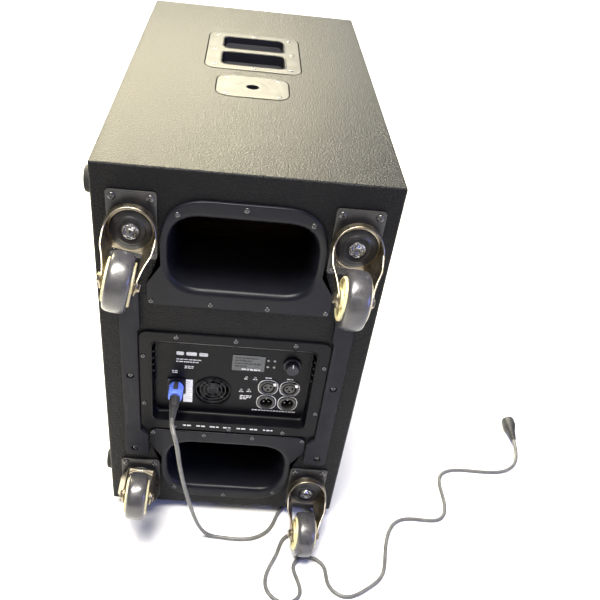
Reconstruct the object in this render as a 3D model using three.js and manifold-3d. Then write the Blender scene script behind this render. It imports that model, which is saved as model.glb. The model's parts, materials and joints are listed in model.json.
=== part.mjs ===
// Powered dual-driver subwoofer with rear ports, an amplifier tray and four
// swivel casters on its rear face. Millimetres, +Z up. The rear face looks along -Y.
// The origin is on the floor, under the middle of the object's own box (cord left out).
import * as THREE from 'three';
import Module from 'manifold-3d';
import { mergeVertices } from 'three/addons/utils/BufferGeometryUtils.js';
import { NURBSCurve } from 'three/addons/curves/NURBSCurve.js';

const wasm = await Module();
wasm.setup();

// ---------------------------------------------------------------- driving dimensions
const CAB_W = 380;             // cabinet width, without the side feet
const CAB_H = 610;             // cabinet height, without the bottom feet
const CAB_D = 728;             // cabinet depth, rear face to front edge
const PLY = 15;                // plywood thickness
const GAP = 0.3;               // gap between pieces that touch
const FOOT_H = 20;             // bottom feet, from floor to cabinet
const SIDE_FOOT_H = 14;        // feet on the left side, for lying the cabinet down
const FOOT_R = 19;
const FOOT_INSET_Y = 50;       // foot centres from the rear and front edges
const FOOT_INSET = 46;         // foot centres from the neighbouring long edges

const KINGPIN_X = 140;         // caster kingpins, left and right of the middle
const KINGPIN_Z = [60, 533];   // lower and upper pair, above the cabinet's bottom
const CASTER_TRAIL = 38;       // kingpin axis to wheel axle
const CASTER_REACH = 73;       // rear face to wheel axle
const WHEEL_R = 37.5;
const TREAD_HALF = 14.5;
const HUB_HALF = 18;
const FORK_R = 33;             // crown radius
const FORK_HALF = 21.5;        // outside half width at the axle
const SHEET = 2.5;             // pressed steel thickness

const PORT_HALF = 124;         // port flange half width
const PORT_H = 155.5;          // port flange height
const UPPER_PORT_Z = 418;      // flat edge of the upper flange
const LOWER_PORT_Z = 179.5;    // flat edge of the lower flange
const PORT_DEPTH = 130;
const MOUTH = { half: 96, lo: 28, hi: 132, r: 44 };  // inside of the lip, measured from the flat edge

const TRAY = { halfW: 136.5, z0: 183, z1: 371 };
const RECESS = { halfW: 118, z0: 203, z1: 353, depth: 16, wall: 3 };
const BAFFLE_Y = { rear: 240, front: 560, face: 690 };
const DRIVER_Z = { rear: 215, front: 395 };
const DRIVER_R = 152;

const HANDLE = { y: 461, w: 152, l: 188, slotW: 102, bar: 20, depth: 46 };
const POLE = { y: 295, w: 107, l: 88, bore: 9 };
// The rub strips step outwards beside the amplifier tray: inner edge low, beside it and high.
const SKID = { outer: 162, inner: [126, 137.5, 134], z0: 122, z1: 476, t: 7 };

const XLR_X = [55, 88];
const XLR_Z = { input: 265.5, output: 235 };
const LCD = { x: 21.7, z: 310.8, w: 49, h: 30.5 };
const KNOB = { x: 86.7, z: 313, r: 14 };
const FAN = { x: -28.7, z: 250, r: 27 };
const INLET = { x: -84, z: 257 };

const CORD_D = 6.5;
const CORD_LAY = -FOOT_H + CORD_D / 2 + 0.25;  // height of the cord's middle on the floor

// ---------------------------------------------------------------- materials
const finish = (color, roughness, metalness = 0) => ({ color, roughness, metalness });
const F = {
  paint: finish(0x1d1d20, 0.75),
  plywood: finish(0x8a6f4d, 0.8),
  moulding: finish(0x22242b, 0.5),
  skid: finish(0x3a3e4a, 0.55),
  panel: finish(0x141418, 0.45, 0.3),
  zinc: finish(0x9a958a, 0.35, 1),
  blackSteel: finish(0x1b1b1d, 0.4, 0.8),
  steel: finish(0xb9bcc0, 0.3, 1),
  aluminium: finish(0xa8abb0, 0.4, 1),
  tread: finish(0x55545a, 0.7),
  rubber: finish(0x17171a, 0.9),
  cone: finish(0x202022, 0.9),
  board: finish(0x1f5a3a, 0.6),
  glass: finish(0x55635a, 0.15),
  knob: finish(0x26262b, 0.5),
  blue: finish(0x3a4fc8, 0.45),
  cord: finish(0x3b3c40, 0.6),
};

// ---------------------------------------------------------------- geometry helpers
function welded(geometry) {
  const bare = new THREE.BufferGeometry();
  bare.setAttribute('position', geometry.getAttribute('position').clone());
  if (geometry.index) bare.setIndex(geometry.index.clone());
  const merged = mergeVertices(bare, 1e-4);
  const index = merged.index.array;
  const kept = [];
  for (let i = 0; i < index.length; i += 3) {
    const [a, b, c] = [index[i], index[i + 1], index[i + 2]];
    if (a !== b && b !== c && c !== a) kept.push(a, b, c);
  }
  merged.setIndex(kept);
  return merged;
}

function solid(geometry, matrix) {
  const g = welded(geometry);
  if (matrix) g.applyMatrix4(matrix);
  const vertProperties = new Float32Array(g.getAttribute('position').array);
  const triVerts = new Uint32Array(g.index.array);
  return new wasm.Manifold(new wasm.Mesh({ numProp: 3, vertProperties, triVerts }));
}

function geometryOf(manifold) {
  const mesh = manifold.getMesh();
  const g = new THREE.BufferGeometry();
  g.setAttribute('position', new THREE.BufferAttribute(new Float32Array(mesh.vertProperties), 3));
  g.setIndex(new THREE.BufferAttribute(new Uint32Array(mesh.triVerts), 1));
  g.computeVertexNormals();
  return g;
}

const joined = (...parts) => parts.reduce((a, b) => a.add(b));
const cut = (body, ...tools) => tools.reduce((a, b) => a.subtract(b), body);
const shift = (x, y, z) => new THREE.Matrix4().makeTranslation(x, y, z);

function box(x0, x1, y0, y1, z0, z1) {
  const g = new THREE.BoxGeometry(x1 - x0, y1 - y0, z1 - z0);
  return solid(g, shift((x0 + x1) / 2, (y0 + y1) / 2, (z0 + z1) / 2));
}

// A rod along Z from z0 to z1; r1 tapers its far end.
function rod(r, z0, z1, x = 0, y = 0, sides = 24, r1 = r) {
  const g = new THREE.CylinderGeometry(r1, r, z1 - z0, sides).rotateX(Math.PI / 2);
  return solid(g, shift(x, y, (z0 + z1) / 2));
}

// A rod along X, centred on x = 0.
function crossRod(r, half, y, z, sides = 24) {
  const g = new THREE.CylinderGeometry(r, r, 2 * half, sides).rotateZ(Math.PI / 2);
  return solid(g, shift(0, y, z));
}

function prism(shape, z0, z1, curveSegments = 2) {
  const g = new THREE.ExtrudeGeometry(shape, { depth: z1 - z0, bevelEnabled: false, curveSegments });
  return solid(g, shift(0, 0, z0));
}

// A rectangle with its own corner radius at the top and at the bottom.
function roundedRect(x0, x1, y0, y1, rTop, rBottom = rTop, Kind = THREE.Shape) {
  const s = new Kind();
  s.moveTo(x0 + rBottom, y0);
  s.lineTo(x1 - rBottom, y0);
  s.absarc(x1 - rBottom, y0 + rBottom, rBottom, -Math.PI / 2, 0, false);
  s.lineTo(x1, y1 - rTop);
  s.absarc(x1 - rTop, y1 - rTop, rTop, 0, Math.PI / 2, false);
  s.lineTo(x0 + rTop, y1);
  s.absarc(x0 + rTop, y1 - rTop, rTop, Math.PI / 2, Math.PI, false);
  s.lineTo(x0, y0 + rBottom);
  s.absarc(x0 + rBottom, y0 + rBottom, rBottom, Math.PI, 1.5 * Math.PI, false);
  return s;
}

// A shape drawn in (y, z) and carried across x from -half to half.
function acrossX(shape, half, curveSegments = 3) {
  const g = new THREE.ExtrudeGeometry(shape, { depth: 2 * half, bevelEnabled: false, curveSegments });
  const turn = new THREE.Matrix4().makeBasis(
    new THREE.Vector3(0, 1, 0), new THREE.Vector3(0, 0, 1), new THREE.Vector3(1, 0, 0),
  );
  return solid(g, shift(-half, 0, 0).multiply(turn));
}

// A ring of points at height z round a polygon whose corners [x, y, radius] are rounded.
function roundedRing(corners, z, perCorner = 4) {
  const n = corners.length;
  const ring = [];
  corners.forEach(([x, y, r], i) => {
    const at = new THREE.Vector2(x, y);
    const toPrev = new THREE.Vector2(...corners[(i + n - 1) % n]).sub(at).normalize();
    const toNext = new THREE.Vector2(...corners[(i + 1) % n]).sub(at).normalize();
    const opening = Math.acos(THREE.MathUtils.clamp(toPrev.dot(toNext), -1, 1));
    const reach = r / Math.tan(opening / 2);
    const from = at.clone().addScaledVector(toPrev, reach);
    const to = at.clone().addScaledVector(toNext, reach);
    const curve = new THREE.QuadraticBezierCurve(from, at, to);
    for (const p of curve.getPoints(perCorner - 1)) ring.push(new THREE.Vector3(p.x, p.y, z));
  });
  return ring;
}

// A closed skin through a list of equal rings; the last ring joins the first.
function skinLoop(rings) {
  const n = rings[0].length;
  const g = new THREE.BufferGeometry();
  g.setAttribute('position', new THREE.Float32BufferAttribute(rings.flat().flatMap((p) => p.toArray()), 3));
  const index = [];
  for (let k = 0; k < rings.length; k++) {
    const next = (k + 1) % rings.length;
    for (let i = 0; i < n; i++) {
      const j = (i + 1) % n;
      index.push(k * n + i, k * n + j, next * n + j, k * n + i, next * n + j, next * n + i);
    }
  }
  g.setIndex(index);
  return g;
}

function lathe(profile, sides) {
  return new THREE.LatheGeometry(profile.map(([r, h]) => new THREE.Vector2(r, h)), sides);
}

function part(name, shape, look) {
  const geometry = shape instanceof THREE.BufferGeometry ? welded(shape) : geometryOf(shape);
  geometry.computeVertexNormals();
  const mesh = new THREE.Mesh(geometry, new THREE.MeshStandardMaterial(look));
  mesh.name = name;
  return mesh;
}

// ---------------------------------------------------------------- cabinet woodwork
// Panels are drawn in the cabinet's own frame: x from the middle, y from the rear
// face, z from the cabinet's bottom.
const cabinet = new THREE.Group();

function panels() {
  const side = CAB_W / 2;
  const inner = side - PLY - GAP;
  const low = PLY + GAP;
  const high = CAB_H - PLY - GAP;

  const handleHole = roundedRect(-66, 66, HANDLE.y - 84, HANDLE.y + 84, 14);
  const top = cut(
    box(-side, side, 0, CAB_D, CAB_H - PLY, CAB_H),
    prism(handleHole, CAB_H - PLY - 1, CAB_H + 1),
    rod(22, CAB_H - PLY - 1, CAB_H + 1, 0, POLE.y, 24),
  );
  cabinet.add(part('top_panel', top, F.paint));
  cabinet.add(part('bottom_panel', box(-side, side, 0, CAB_D, 0, PLY), F.paint));
  cabinet.add(part('left_panel', box(-side, -side + PLY, 0, CAB_D, low, high), F.paint));
  cabinet.add(part('right_panel', box(side - PLY, side, 0, CAB_D, low, high), F.paint));

  for (const [name, y, z] of [
    ['rear_driver_baffle', BAFFLE_Y.rear, DRIVER_Z.rear],
    ['front_driver_baffle', BAFFLE_Y.front, DRIVER_Z.front],
  ]) {
    const hole = solid(new THREE.CylinderGeometry(141, 141, PLY + 2, 40), shift(0, y + PLY / 2, z));
    cabinet.add(part(name, cut(box(-inner, inner, y, y + PLY, low, high), hole), F.plywood));
  }

  const slots = [110, 500].map((z) => {
    const slot = roundedRect(-140, 140, z - 45, z + 45, 40);
    const g = new THREE.ExtrudeGeometry(slot, { depth: PLY + 2, bevelEnabled: false, curveSegments: 3 });
    return solid(g.rotateX(Math.PI / 2), shift(0, BAFFLE_Y.face + PLY + 1, 0));
  });
  const face = box(-inner, inner, BAFFLE_Y.face, BAFFLE_Y.face + PLY, low, high);
  cabinet.add(part('front_baffle', cut(face, ...slots), F.paint));
}

// A steel sheet bowed outwards a little, with folded sides that rest on the front baffle.
function frontGrille() {
  const half = CAB_W / 2 - PLY - 2;
  const bow = 7;
  const back = BAFFLE_Y.face + PLY + GAP;
  const rim = 713;
  const t = 2;
  const curve = (x, y) => y + bow * (1 - (x / half) ** 2);
  const steps = 16;
  const s = new THREE.Shape();
  s.moveTo(-half, back);
  for (let i = 0; i <= steps; i++) {
    const x = -half + (2 * half * i) / steps;
    s.lineTo(x, curve(x, rim));
  }
  s.lineTo(half, back);
  s.lineTo(half - t, back);
  for (let i = 0; i <= steps; i++) {
    const x = (half - t) * (1 - (2 * i) / steps);
    s.lineTo(x, curve(x, rim - t));
  }
  s.lineTo(-half + t, back);
  return prism(s, PLY + 3, CAB_H - PLY - 3);
}

// ---------------------------------------------------------------- feet
function feet() {
  const foot = (height) => lathe([[0, 0], [FOOT_R, 0], [FOOT_R - 3, height], [0, height]], 16);
  const ys = { rear: FOOT_INSET_Y, front: CAB_D - FOOT_INSET_Y };
  for (const [end, y] of Object.entries(ys)) {
    for (const [side, x] of [['left', -144], ['right', 144]]) {
      const m = part(`bottom_foot_${end}_${side}`, foot(FOOT_H - GAP).rotateX(-Math.PI / 2), F.rubber);
      m.position.set(x, y, -GAP);
      cabinet.add(m);
    }
    for (const [level, z] of [['lower', FOOT_INSET], ['upper', CAB_H - FOOT_INSET]]) {
      const m = part(`side_foot_${end}_${level}`, foot(SIDE_FOOT_H - GAP).rotateZ(Math.PI / 2), F.rubber);
      m.position.set(-CAB_W / 2 - GAP, y, z);
      cabinet.add(m);
    }
  }
}

// ---------------------------------------------------------------- fittings on the top
function topFittings() {
  const top = CAB_H + GAP;
  const y = HANDLE.y;
  const slot = (y0, y1) => prism(roundedRect(-HANDLE.slotW / 2, HANDLE.slotW / 2, y0, y1, 12), -4, top + 4);
  const cup = (inset, z0, z1) => prism(
    roundedRect(-64 + inset, 64 - inset, y - 82 + inset, y + 82 - inset, 13 - inset), z0, z1,
  );
  const plate = prism(roundedRect(-HANDLE.w / 2, HANDLE.w / 2, y - HANDLE.l / 2, y + HANDLE.l / 2, 12), top, top + 2.5);
  const hollow = cup(3, CAB_H - HANDLE.depth + 3, top - 14);
  const inBar = HANDLE.bar / 2;
  const upper = cut(
    joined(plate, cup(0, CAB_H - HANDLE.depth, top + 0.1)),
    hollow,
    slot(y - 72, y - inBar).translate([0, 0, CAB_H - 40]),
    slot(y + inBar, y + 72).translate([0, 0, CAB_H - 40]),
  );
  // The far pocket's floor rises from under the bar to the far edge.
  const slope = new THREE.Shape([[24, -44], [80, -44], [80, -4], [24, -40]].map(([dy, dz]) => (
    new THREE.Vector2(y + dy, CAB_H + dz)
  )));
  cabinet.add(part('top_handle', joined(upper, acrossX(slope, 61.5)), F.moulding));

  const flange = prism(
    roundedRect(-POLE.w / 2, POLE.w / 2, POLE.y - POLE.l / 2, POLE.y + POLE.l / 2, 14), top, top + 2.5,
  );
  const barrel = rod(20, CAB_H - 62, top + 0.1, 0, POLE.y, 20);
  const bore = rod(POLE.bore, CAB_H - 57, top + 4, 0, POLE.y, 20);
  cabinet.add(part('pole_socket', cut(joined(flange, barrel), bore), F.moulding));
}

// ---------------------------------------------------------------- rear face
// Rear pieces are drawn lying down: x to the right, y up the panel, z out of it.
const rearFace = new THREE.Group();
rearFace.rotation.x = Math.PI / 2;
cabinet.add(rearFace);

// Half outlines [half width, distance from the flat edge, corner radius]. The flange
// narrows beside the casters; the mouth is a rectangle with big round corners.
const FLANGE_SIDE = [[PORT_HALF, 0, 13], [PORT_HALF, 34, 12], [106, 62, 12], [106, PORT_H, 62]];
const mouthSide = (grow) => [
  [MOUTH.half + grow, MOUTH.lo - grow, MOUTH.r + grow], [MOUTH.half + grow, PORT_H / 2, 1],
  [MOUTH.half + grow, PORT_H / 2 + 3, 1], [MOUTH.half + grow, MOUTH.hi + grow, MOUTH.r + grow],
];

// Mirrors a half outline; up puts the flat edge at the bottom, otherwise at the top.
function portRing(side, z, flat, up) {
  const sign = up ? 1 : -1;
  const right = side.map(([x, d, r]) => [x, flat + sign * d, r]);
  const left = side.map(([x, d, r]) => [-x, flat + sign * d, r]).reverse();
  const ring = roundedRing([...right, ...left], z);
  return up ? ring : ring.reverse();
}

function port(name, flat, up) {
  const lip = [[9, 4.2], [5, 3.6], [2, 1.5], [0, -3], [-2, -12], [-3, -28], [-3, -PORT_DEPTH]];
  const back = [[-0.2, -PORT_DEPTH], [-0.2, -30], [3.4, GAP]];
  const at = ([grow, z]) => portRing(mouthSide(grow), z, flat, up);
  const rings = [
    portRing(FLANGE_SIDE, GAP, flat, up),
    portRing(FLANGE_SIDE, 3.6, flat, up),
    portRing(FLANGE_SIDE.map(([x, d, r], i) => [x - 1, d + [1, 0, 0, -1][i], r]), 4.4, flat, up),
    ...lip.map(at),
    ...back.map(at),
  ];
  rearFace.add(part(name, skinLoop(rings), F.moulding));
}

function portHole(flat, up) {
  const ring = portRing(mouthSide(3.8), 0, flat, up);
  return new THREE.Path(ring.map((p) => new THREE.Vector2(p.x, p.y)));
}

function rearPanel() {
  const half = CAB_W / 2 - PLY - GAP;
  const s = roundedRect(-half, half, PLY + GAP, CAB_H - PLY - GAP, 0.5);
  s.holes.push(portHole(UPPER_PORT_Z, true), portHole(LOWER_PORT_Z, false));
  s.holes.push(roundedRect(-122, 122, RECESS.z0 - 4, RECESS.z1 + 4, 12, 12, THREE.Path));
  rearFace.add(part('rear_panel', prism(s, -PLY, 0), F.paint));
}

function skids() {
  for (const [side, sign] of [['left', -1], ['right', 1]]) {
    const [low, beside, high] = SKID.inner;
    const outline = [
      [low, SKID.z0, 5], [SKID.outer, SKID.z0, 10], [SKID.outer, SKID.z1, 10], [high, SKID.z1, 5],
      [high, TRAY.z1 + 7, 1], [beside, TRAY.z1 + 2, 1], [beside, TRAY.z0 - 3, 1], [low, TRAY.z0 - 15, 1],
    ];
    const ring = roundedRing(outline.map(([x, z, r]) => [sign * x, z, r]), 0, 4);
    const s = new THREE.Shape(ring.map((p) => new THREE.Vector2(p.x, p.y)));
    rearFace.add(part(`${side}_skid`, prism(s, GAP, SKID.t), F.skid));
  }
}

// ---------------------------------------------------------------- amplifier
function ampTray() {
  const { halfW, z0, z1, depth, wall } = RECESS;
  const outer = (inset, za, zb) => prism(
    roundedRect(-halfW + inset, halfW - inset, z0 + inset, z1 - inset, 10), za, zb,
  );
  const flange = prism(roundedRect(-TRAY.halfW, TRAY.halfW, TRAY.z0, TRAY.z1, 14), GAP, 3.5);
  const body = joined(flange, outer(-wall, -depth - wall, GAP + 0.1));
  const hole = (x, z, r) => rod(r, -depth - wall - 1, -depth + 1, x, z, 20);
  const window = (c) => prism(
    roundedRect(c.x - c.w / 2, c.x + c.w / 2, c.z - c.h / 2, c.z + c.h / 2, 2),
    -depth - wall - 1, -depth + 1,
  );
  const sockets = [];
  for (const x of XLR_X) {
    for (const z of Object.values(XLR_Z)) sockets.push(hole(x, z, 12.3));
  }
  const tray = cut(
    body, outer(0, -depth, 5), ...sockets, window(LCD),
    hole(FAN.x, FAN.z, FAN.r), hole(KNOB.x, KNOB.z, 4.5), hole(INLET.x, INLET.z, 12.3),
  );
  const ribs = [];
  for (const sign of [-1, 1]) {
    for (let i = 0; i < 4; i++) {
      const x = sign * (halfW - 1.2);
      ribs.push(box(x - 1.8, x + 1.8, 296 + 12 * i, 300 + 12 * i, -depth + 0.5, -1));
    }
  }
  rearFace.add(part('amp_tray', joined(tray, ...ribs), F.panel));
}

function ampInside() {
  const shell = cut(box(-114, 114, 208, 350, -120, -24), box(-111, 111, 211, 347, -117, -20));
  const fins = [];
  for (let i = 0; i < 14; i++) fins.push(box(-104 + 16 * i - 1.5, -104 + 16 * i + 1.5, 214, 344, -142, -119.9));
  rearFace.add(part('amp_chassis', joined(shell, ...fins), F.aluminium));

  const card = box(-105, 105, 214, 216, -112, -52);
  const blocks = [
    box(-95, -40, 215.9, 262, -108, -58),
    box(-28, 4, 215.9, 250, -106, -66),
    box(16, 90, 215.9, 240, -104, -62),
  ];
  const cans = [-18, 2, 22].map((dx) => {
    const g = new THREE.CylinderGeometry(7, 7, 32, 16);
    return solid(g, shift(60 + dx, 255.5, -82));
  });
  rearFace.add(part('amp_board', joined(card, ...blocks, ...cans), F.board));
}

function fanRotor() {
  const hub = rod(9.5, -32, -23, FAN.x, FAN.z, 20);
  const blades = [];
  for (let i = 0; i < 7; i++) {
    const turn = new THREE.Matrix4().makeRotationZ((2 * Math.PI * i) / 7);
    const pitch = new THREE.Matrix4().makeRotationX(0.6);
    const place = shift(FAN.x, FAN.z, -27.5).multiply(turn).multiply(shift(16.2, 0, 0)).multiply(pitch);
    blades.push(solid(new THREE.BoxGeometry(15.6, 11, 1.2), place));
  }
  rearFace.add(part('fan_rotor', joined(hub, ...blades), F.knob));
}

function controls() {
  const d = RECESS.depth;
  const g = roundedRect(
    LCD.x - LCD.w / 2 + GAP, LCD.x + LCD.w / 2 - GAP, LCD.z - LCD.h / 2 + GAP, LCD.z + LCD.h / 2 - GAP, 1.7,
  );
  rearFace.add(part('display_window', prism(g, -d - 2, -d + 0.8), F.glass));

  const shaft = joined(
    rod(3, -d - 4.5, -6.5, KNOB.x, KNOB.z, 12),
    rod(9, -d - 12, -d - 4.4, KNOB.x, KNOB.z, 12),
  );
  rearFace.add(part('encoder_shaft', shaft, F.steel));
  const socket = rod(3 + GAP, -d, -6, KNOB.x, KNOB.z, 12);
  const knob = joined(
    rod(KNOB.r, -d + 1.5, -d + 4.5, KNOB.x, KNOB.z, 24, KNOB.r - 1),
    rod(10.5, -d + 4.4, -d + 14, KNOB.x, KNOB.z, 24, 9.8),
  );
  rearFace.add(part('control_knob', cut(knob, socket), F.knob));
}

// A round panel connector: barrel through the tray, rim in front of it.
function xlrBody(x, z) {
  const d = RECESS.depth;
  const rim = rod(14, -d + GAP, -d + 2.4, x, z, 16, 13.4);
  const barrel = rod(12, -d - 24, -d + GAP + 0.1, x, z, 16);
  return joined(rim, barrel);
}

function xlrSockets() {
  const d = RECESS.depth;
  const pins = [[-4.2, 1.5], [4.2, 1.5], [0, -4.2]];
  XLR_X.forEach((x, i) => {
    const tag = 'ab'[i];
    const zi = XLR_Z.input;
    const groove = cut(rod(10.2, -d - 18, -d + 4, x, zi, 12), rod(8.4, -d - 19, -d + 5, x, zi, 12));
    const holes = pins.map(([px, pz]) => rod(1.7, -d - 16, -d + 4, x + px, zi + pz, 6));
    const notch = box(x + 6.2, x + 12.8, zi + 6.4, zi + 13.4, -d - 9, -d + 4);
    rearFace.add(part(`xlr_input_${tag}`, cut(xlrBody(x, zi), groove, ...holes, notch), F.blackSteel));
    const tab = box(x + 6.6, x + 12.4, zi + 6.8, zi + 12.6, -d + 1.9, -d + 5);
    const stem = box(x + 7, x + 8.5, zi + 7, zi + 8.4, -d - 7, -d + 2);
    rearFace.add(part(`xlr_latch_${tag}`, joined(tab, stem), F.steel));

    const zo = XLR_Z.output;
    const shell = cut(xlrBody(x, zo), rod(9.6, -d - 15, -d + 4, x, zo, 14));
    const prongs = pins.map(([px, pz]) => rod(1.25, -d - 15.5, -d - 3, x + px, zo - pz, 6));
    rearFace.add(part(`xlr_output_${tag}`, joined(shell, ...prongs), F.blackSteel));
  });
}

function powerInlet() {
  const d = RECESS.depth;
  const { x, z } = INLET;
  const rim = prism(roundedRect(x - 14, x + 14, z - 15.5, z + 15.5, 3), -d + GAP, -d + 2.4);
  const barrel = rod(12, -d - 26, -d + GAP + 0.1, x, z, 20);
  const bore = rod(10, -d - 20, -d + 4, x, z, 20);
  rearFace.add(part('power_inlet', cut(joined(rim, barrel), bore), F.moulding));
}

// ---------------------------------------------------------------- casters
function casterPlate() {
  const s = roundedRect(-31, 31, -46, 46, 5);
  for (const [x, y] of [[-23.2, -38], [23.2, -38], [-23.2, 38], [23.2, 38]]) {
    const slot = new THREE.Path();
    slot.absarc(x, y, 3.6, 0, 2 * Math.PI, true);
    s.holes.push(slot);
  }
  const race = rod(24, 3.2, 9.4, 0, 0, 18, 21);
  const pin = rod(6, 9.3, 18, 0, 0, 10);
  const head = rod(11, 15, 21, 0, 0, 12, 9);
  return joined(prism(s, GAP, 3.3, 2), race, pin, head);
}

// The crown's outline: an arc round the kingpin that narrows to two straight legs.
function forkOutline(inset) {
  const r = FORK_R - inset;
  const half = FORK_HALF - inset;
  const s = new THREE.Shape();
  s.absarc(0, 0, r, -0.26, Math.PI + 0.26, false);
  s.lineTo(-half - 2.6, -22);
  s.lineTo(-half, -31);
  s.lineTo(-half, -80);
  s.lineTo(half, -80);
  s.lineTo(half, -31);
  s.lineTo(half + 2.6, -22);
  return s;
}

// Pressed fork: a dished crown with two legs that run out and down to the axle.
function forkSolid() {
  const crown = 10;
  const boss = 12.5;
  const side = new THREE.Shape();
  side.moveTo(FORK_R + 2, crown - 1);
  side.lineTo(FORK_R + 2, 19);
  side.lineTo(24, 21);
  side.lineTo(4, 30);
  side.absarc(-CASTER_TRAIL, CASTER_REACH, boss, 0.55, Math.PI * 1.06, false);
  side.lineTo(-FORK_R - 4, 30);
  side.lineTo(-FORK_R + 2, crown - 1);
  const envelope = acrossX(side, 40);
  const shell = cut(
    prism(forkOutline(0), crown, 100, 5),
    prism(forkOutline(SHEET), crown + SHEET, 101, 5),
  );
  return cut(
    shell.intersect(envelope),
    rod(7.5, crown - 1, crown + SHEET + 1, 0, 0, 20),
    crossRod(4.3, 40, -CASTER_TRAIL, CASTER_REACH, 16),
  );
}

function axleSolid() {
  const bolt = crossRod(4, 24, 0, 0, 16);
  const ends = [-1, 1].map((sign) => {
    const g = new THREE.CylinderGeometry(6.5, 6.5, 4.2, 6).rotateZ(Math.PI / 2);
    return solid(g, shift(sign * (FORK_HALF + GAP + 2.1), 0, 0));
  });
  return joined(bolt, ...ends);
}

function wheelGeometry() {
  const bore = 4.4;
  const profile = [
    [bore, -HUB_HALF], [26, -HUB_HALF + 1], [27.5, -TREAD_HALF], [34, -TREAD_HALF + 0.5],
    [WHEEL_R, -5], [WHEEL_R, 5], [34, TREAD_HALF - 0.5], [27.5, TREAD_HALF],
    [26, HUB_HALF - 1], [bore, HUB_HALF], [bore, -HUB_HALF],
  ];
  return lathe(profile, 18).rotateZ(-Math.PI / 2);
}

// swivel: degrees from hanging straight down, counter-clockwise seen from behind.
function caster(tag, x, z, swivel) {
  const mount = new THREE.Group();
  mount.position.set(x, z, 0);
  rearFace.add(mount);
  mount.add(part(`caster_plate_${tag}`, casterPlate(), F.blackSteel));

  const turning = new THREE.Group();
  turning.rotation.z = THREE.MathUtils.degToRad(swivel);
  mount.add(turning);
  turning.add(part(`caster_fork_${tag}`, forkSolid(), F.zinc));
  const axle = part(`caster_axle_${tag}`, axleSolid(), F.zinc);
  const wheel = part(`caster_wheel_${tag}`, wheelGeometry(), F.tread);
  for (const m of [axle, wheel]) {
    m.position.set(0, -CASTER_TRAIL, CASTER_REACH);
    turning.add(m);
  }
}

// ---------------------------------------------------------------- drivers
// facing: -1 fires at the rear face, +1 at the front.
function driver(tag, y, z, facing) {
  const holder = new THREE.Group();
  holder.position.set(0, y, z);
  holder.rotation.x = facing < 0 ? Math.PI / 2 : -Math.PI / 2;
  cabinet.add(holder);

  const basketWall = lathe([
    [DRIVER_R, 0], [DRIVER_R, 5], [131, 5], [131, -12], [66, -72], [30, -76], [30, -79],
    [70, -79], [136, -12], [138, 0], [DRIVER_R, 0],
  ], 16).rotateX(Math.PI / 2);
  const windows = [];
  for (let i = 0; i < 3; i++) {
    const turn = new THREE.Matrix4().makeRotationZ((Math.PI * i) / 3);
    windows.push(solid(new THREE.BoxGeometry(290, 62, 48), turn.multiply(shift(0, 0, -38))));
  }
  const pole = rod(14, -85, -60, 0, 0, 14);
  const magnet = rod(78, -135, -79.5, 0, 0, 24);
  const motor = joined(magnet, pole, rod(40, -80, -76.5, 0, 0, 20));
  const basket = joined(cut(solid(basketWall), ...windows), motor);
  holder.add(part(`driver_frame_${tag}`, basket, F.blackSteel));

  const cone = lathe([
    [0, -22], [24, -25], [47, -40], [111, -3], [119, 2], [127.5, -1.5],
    [127.5, 0], [120, 5], [111, 2], [46, -36], [24, -21], [0, -18],
  ], 18).rotateX(Math.PI / 2);
  holder.add(part(`driver_cone_${tag}`, cone, F.cone));
}

// ---------------------------------------------------------------- power lead
// Control points of the lead's middle line, in the cabinet's frame. It leaves the
// plug, drops to the floor and lies there in loose curves to its far plug.
const CORD_ROUTE = [
  [INLET.x, -58.3, INLET.z], [INLET.x, -72, INLET.z], [-74, -94, 252], [-70, -96, 205], [-63, -90, 152],
  [-54, -79, 95], [-44, -65, 33], [-27, -57, -17],
  ...[
    [5, -60], [52, -64], [90, -38], [98, 8], [134, 30], [168, 6], [162, -34], [130, -40],
    [104, -54], [99, -86], [80, -118], [72, -156], [101, -186], [137, -171], [132, -138],
    [117, -106], [148, -84], [182, -104], [174, -144], [208, -172], [246, -146], [280, -120],
    [284, -66], [303, -4], [342, 8], [400, -4], [417, 44], [405, 112], [445, 137], [530, 124],
  ].map(([x, y]) => [x, y, CORD_LAY]),
  [582, 148, -14], [586, 190, -7.6], [587, 214, -7],
];

function cordCurve() {
  const n = CORD_ROUTE.length;
  const knots = [0, 0, 0, 0];
  for (let i = 1; i < n - 3; i++) knots.push(i / (n - 3));
  knots.push(1, 1, 1, 1);
  return new NURBSCurve(3, knots, CORD_ROUTE.map((p) => new THREE.Vector4(...p, 1)));
}

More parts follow.
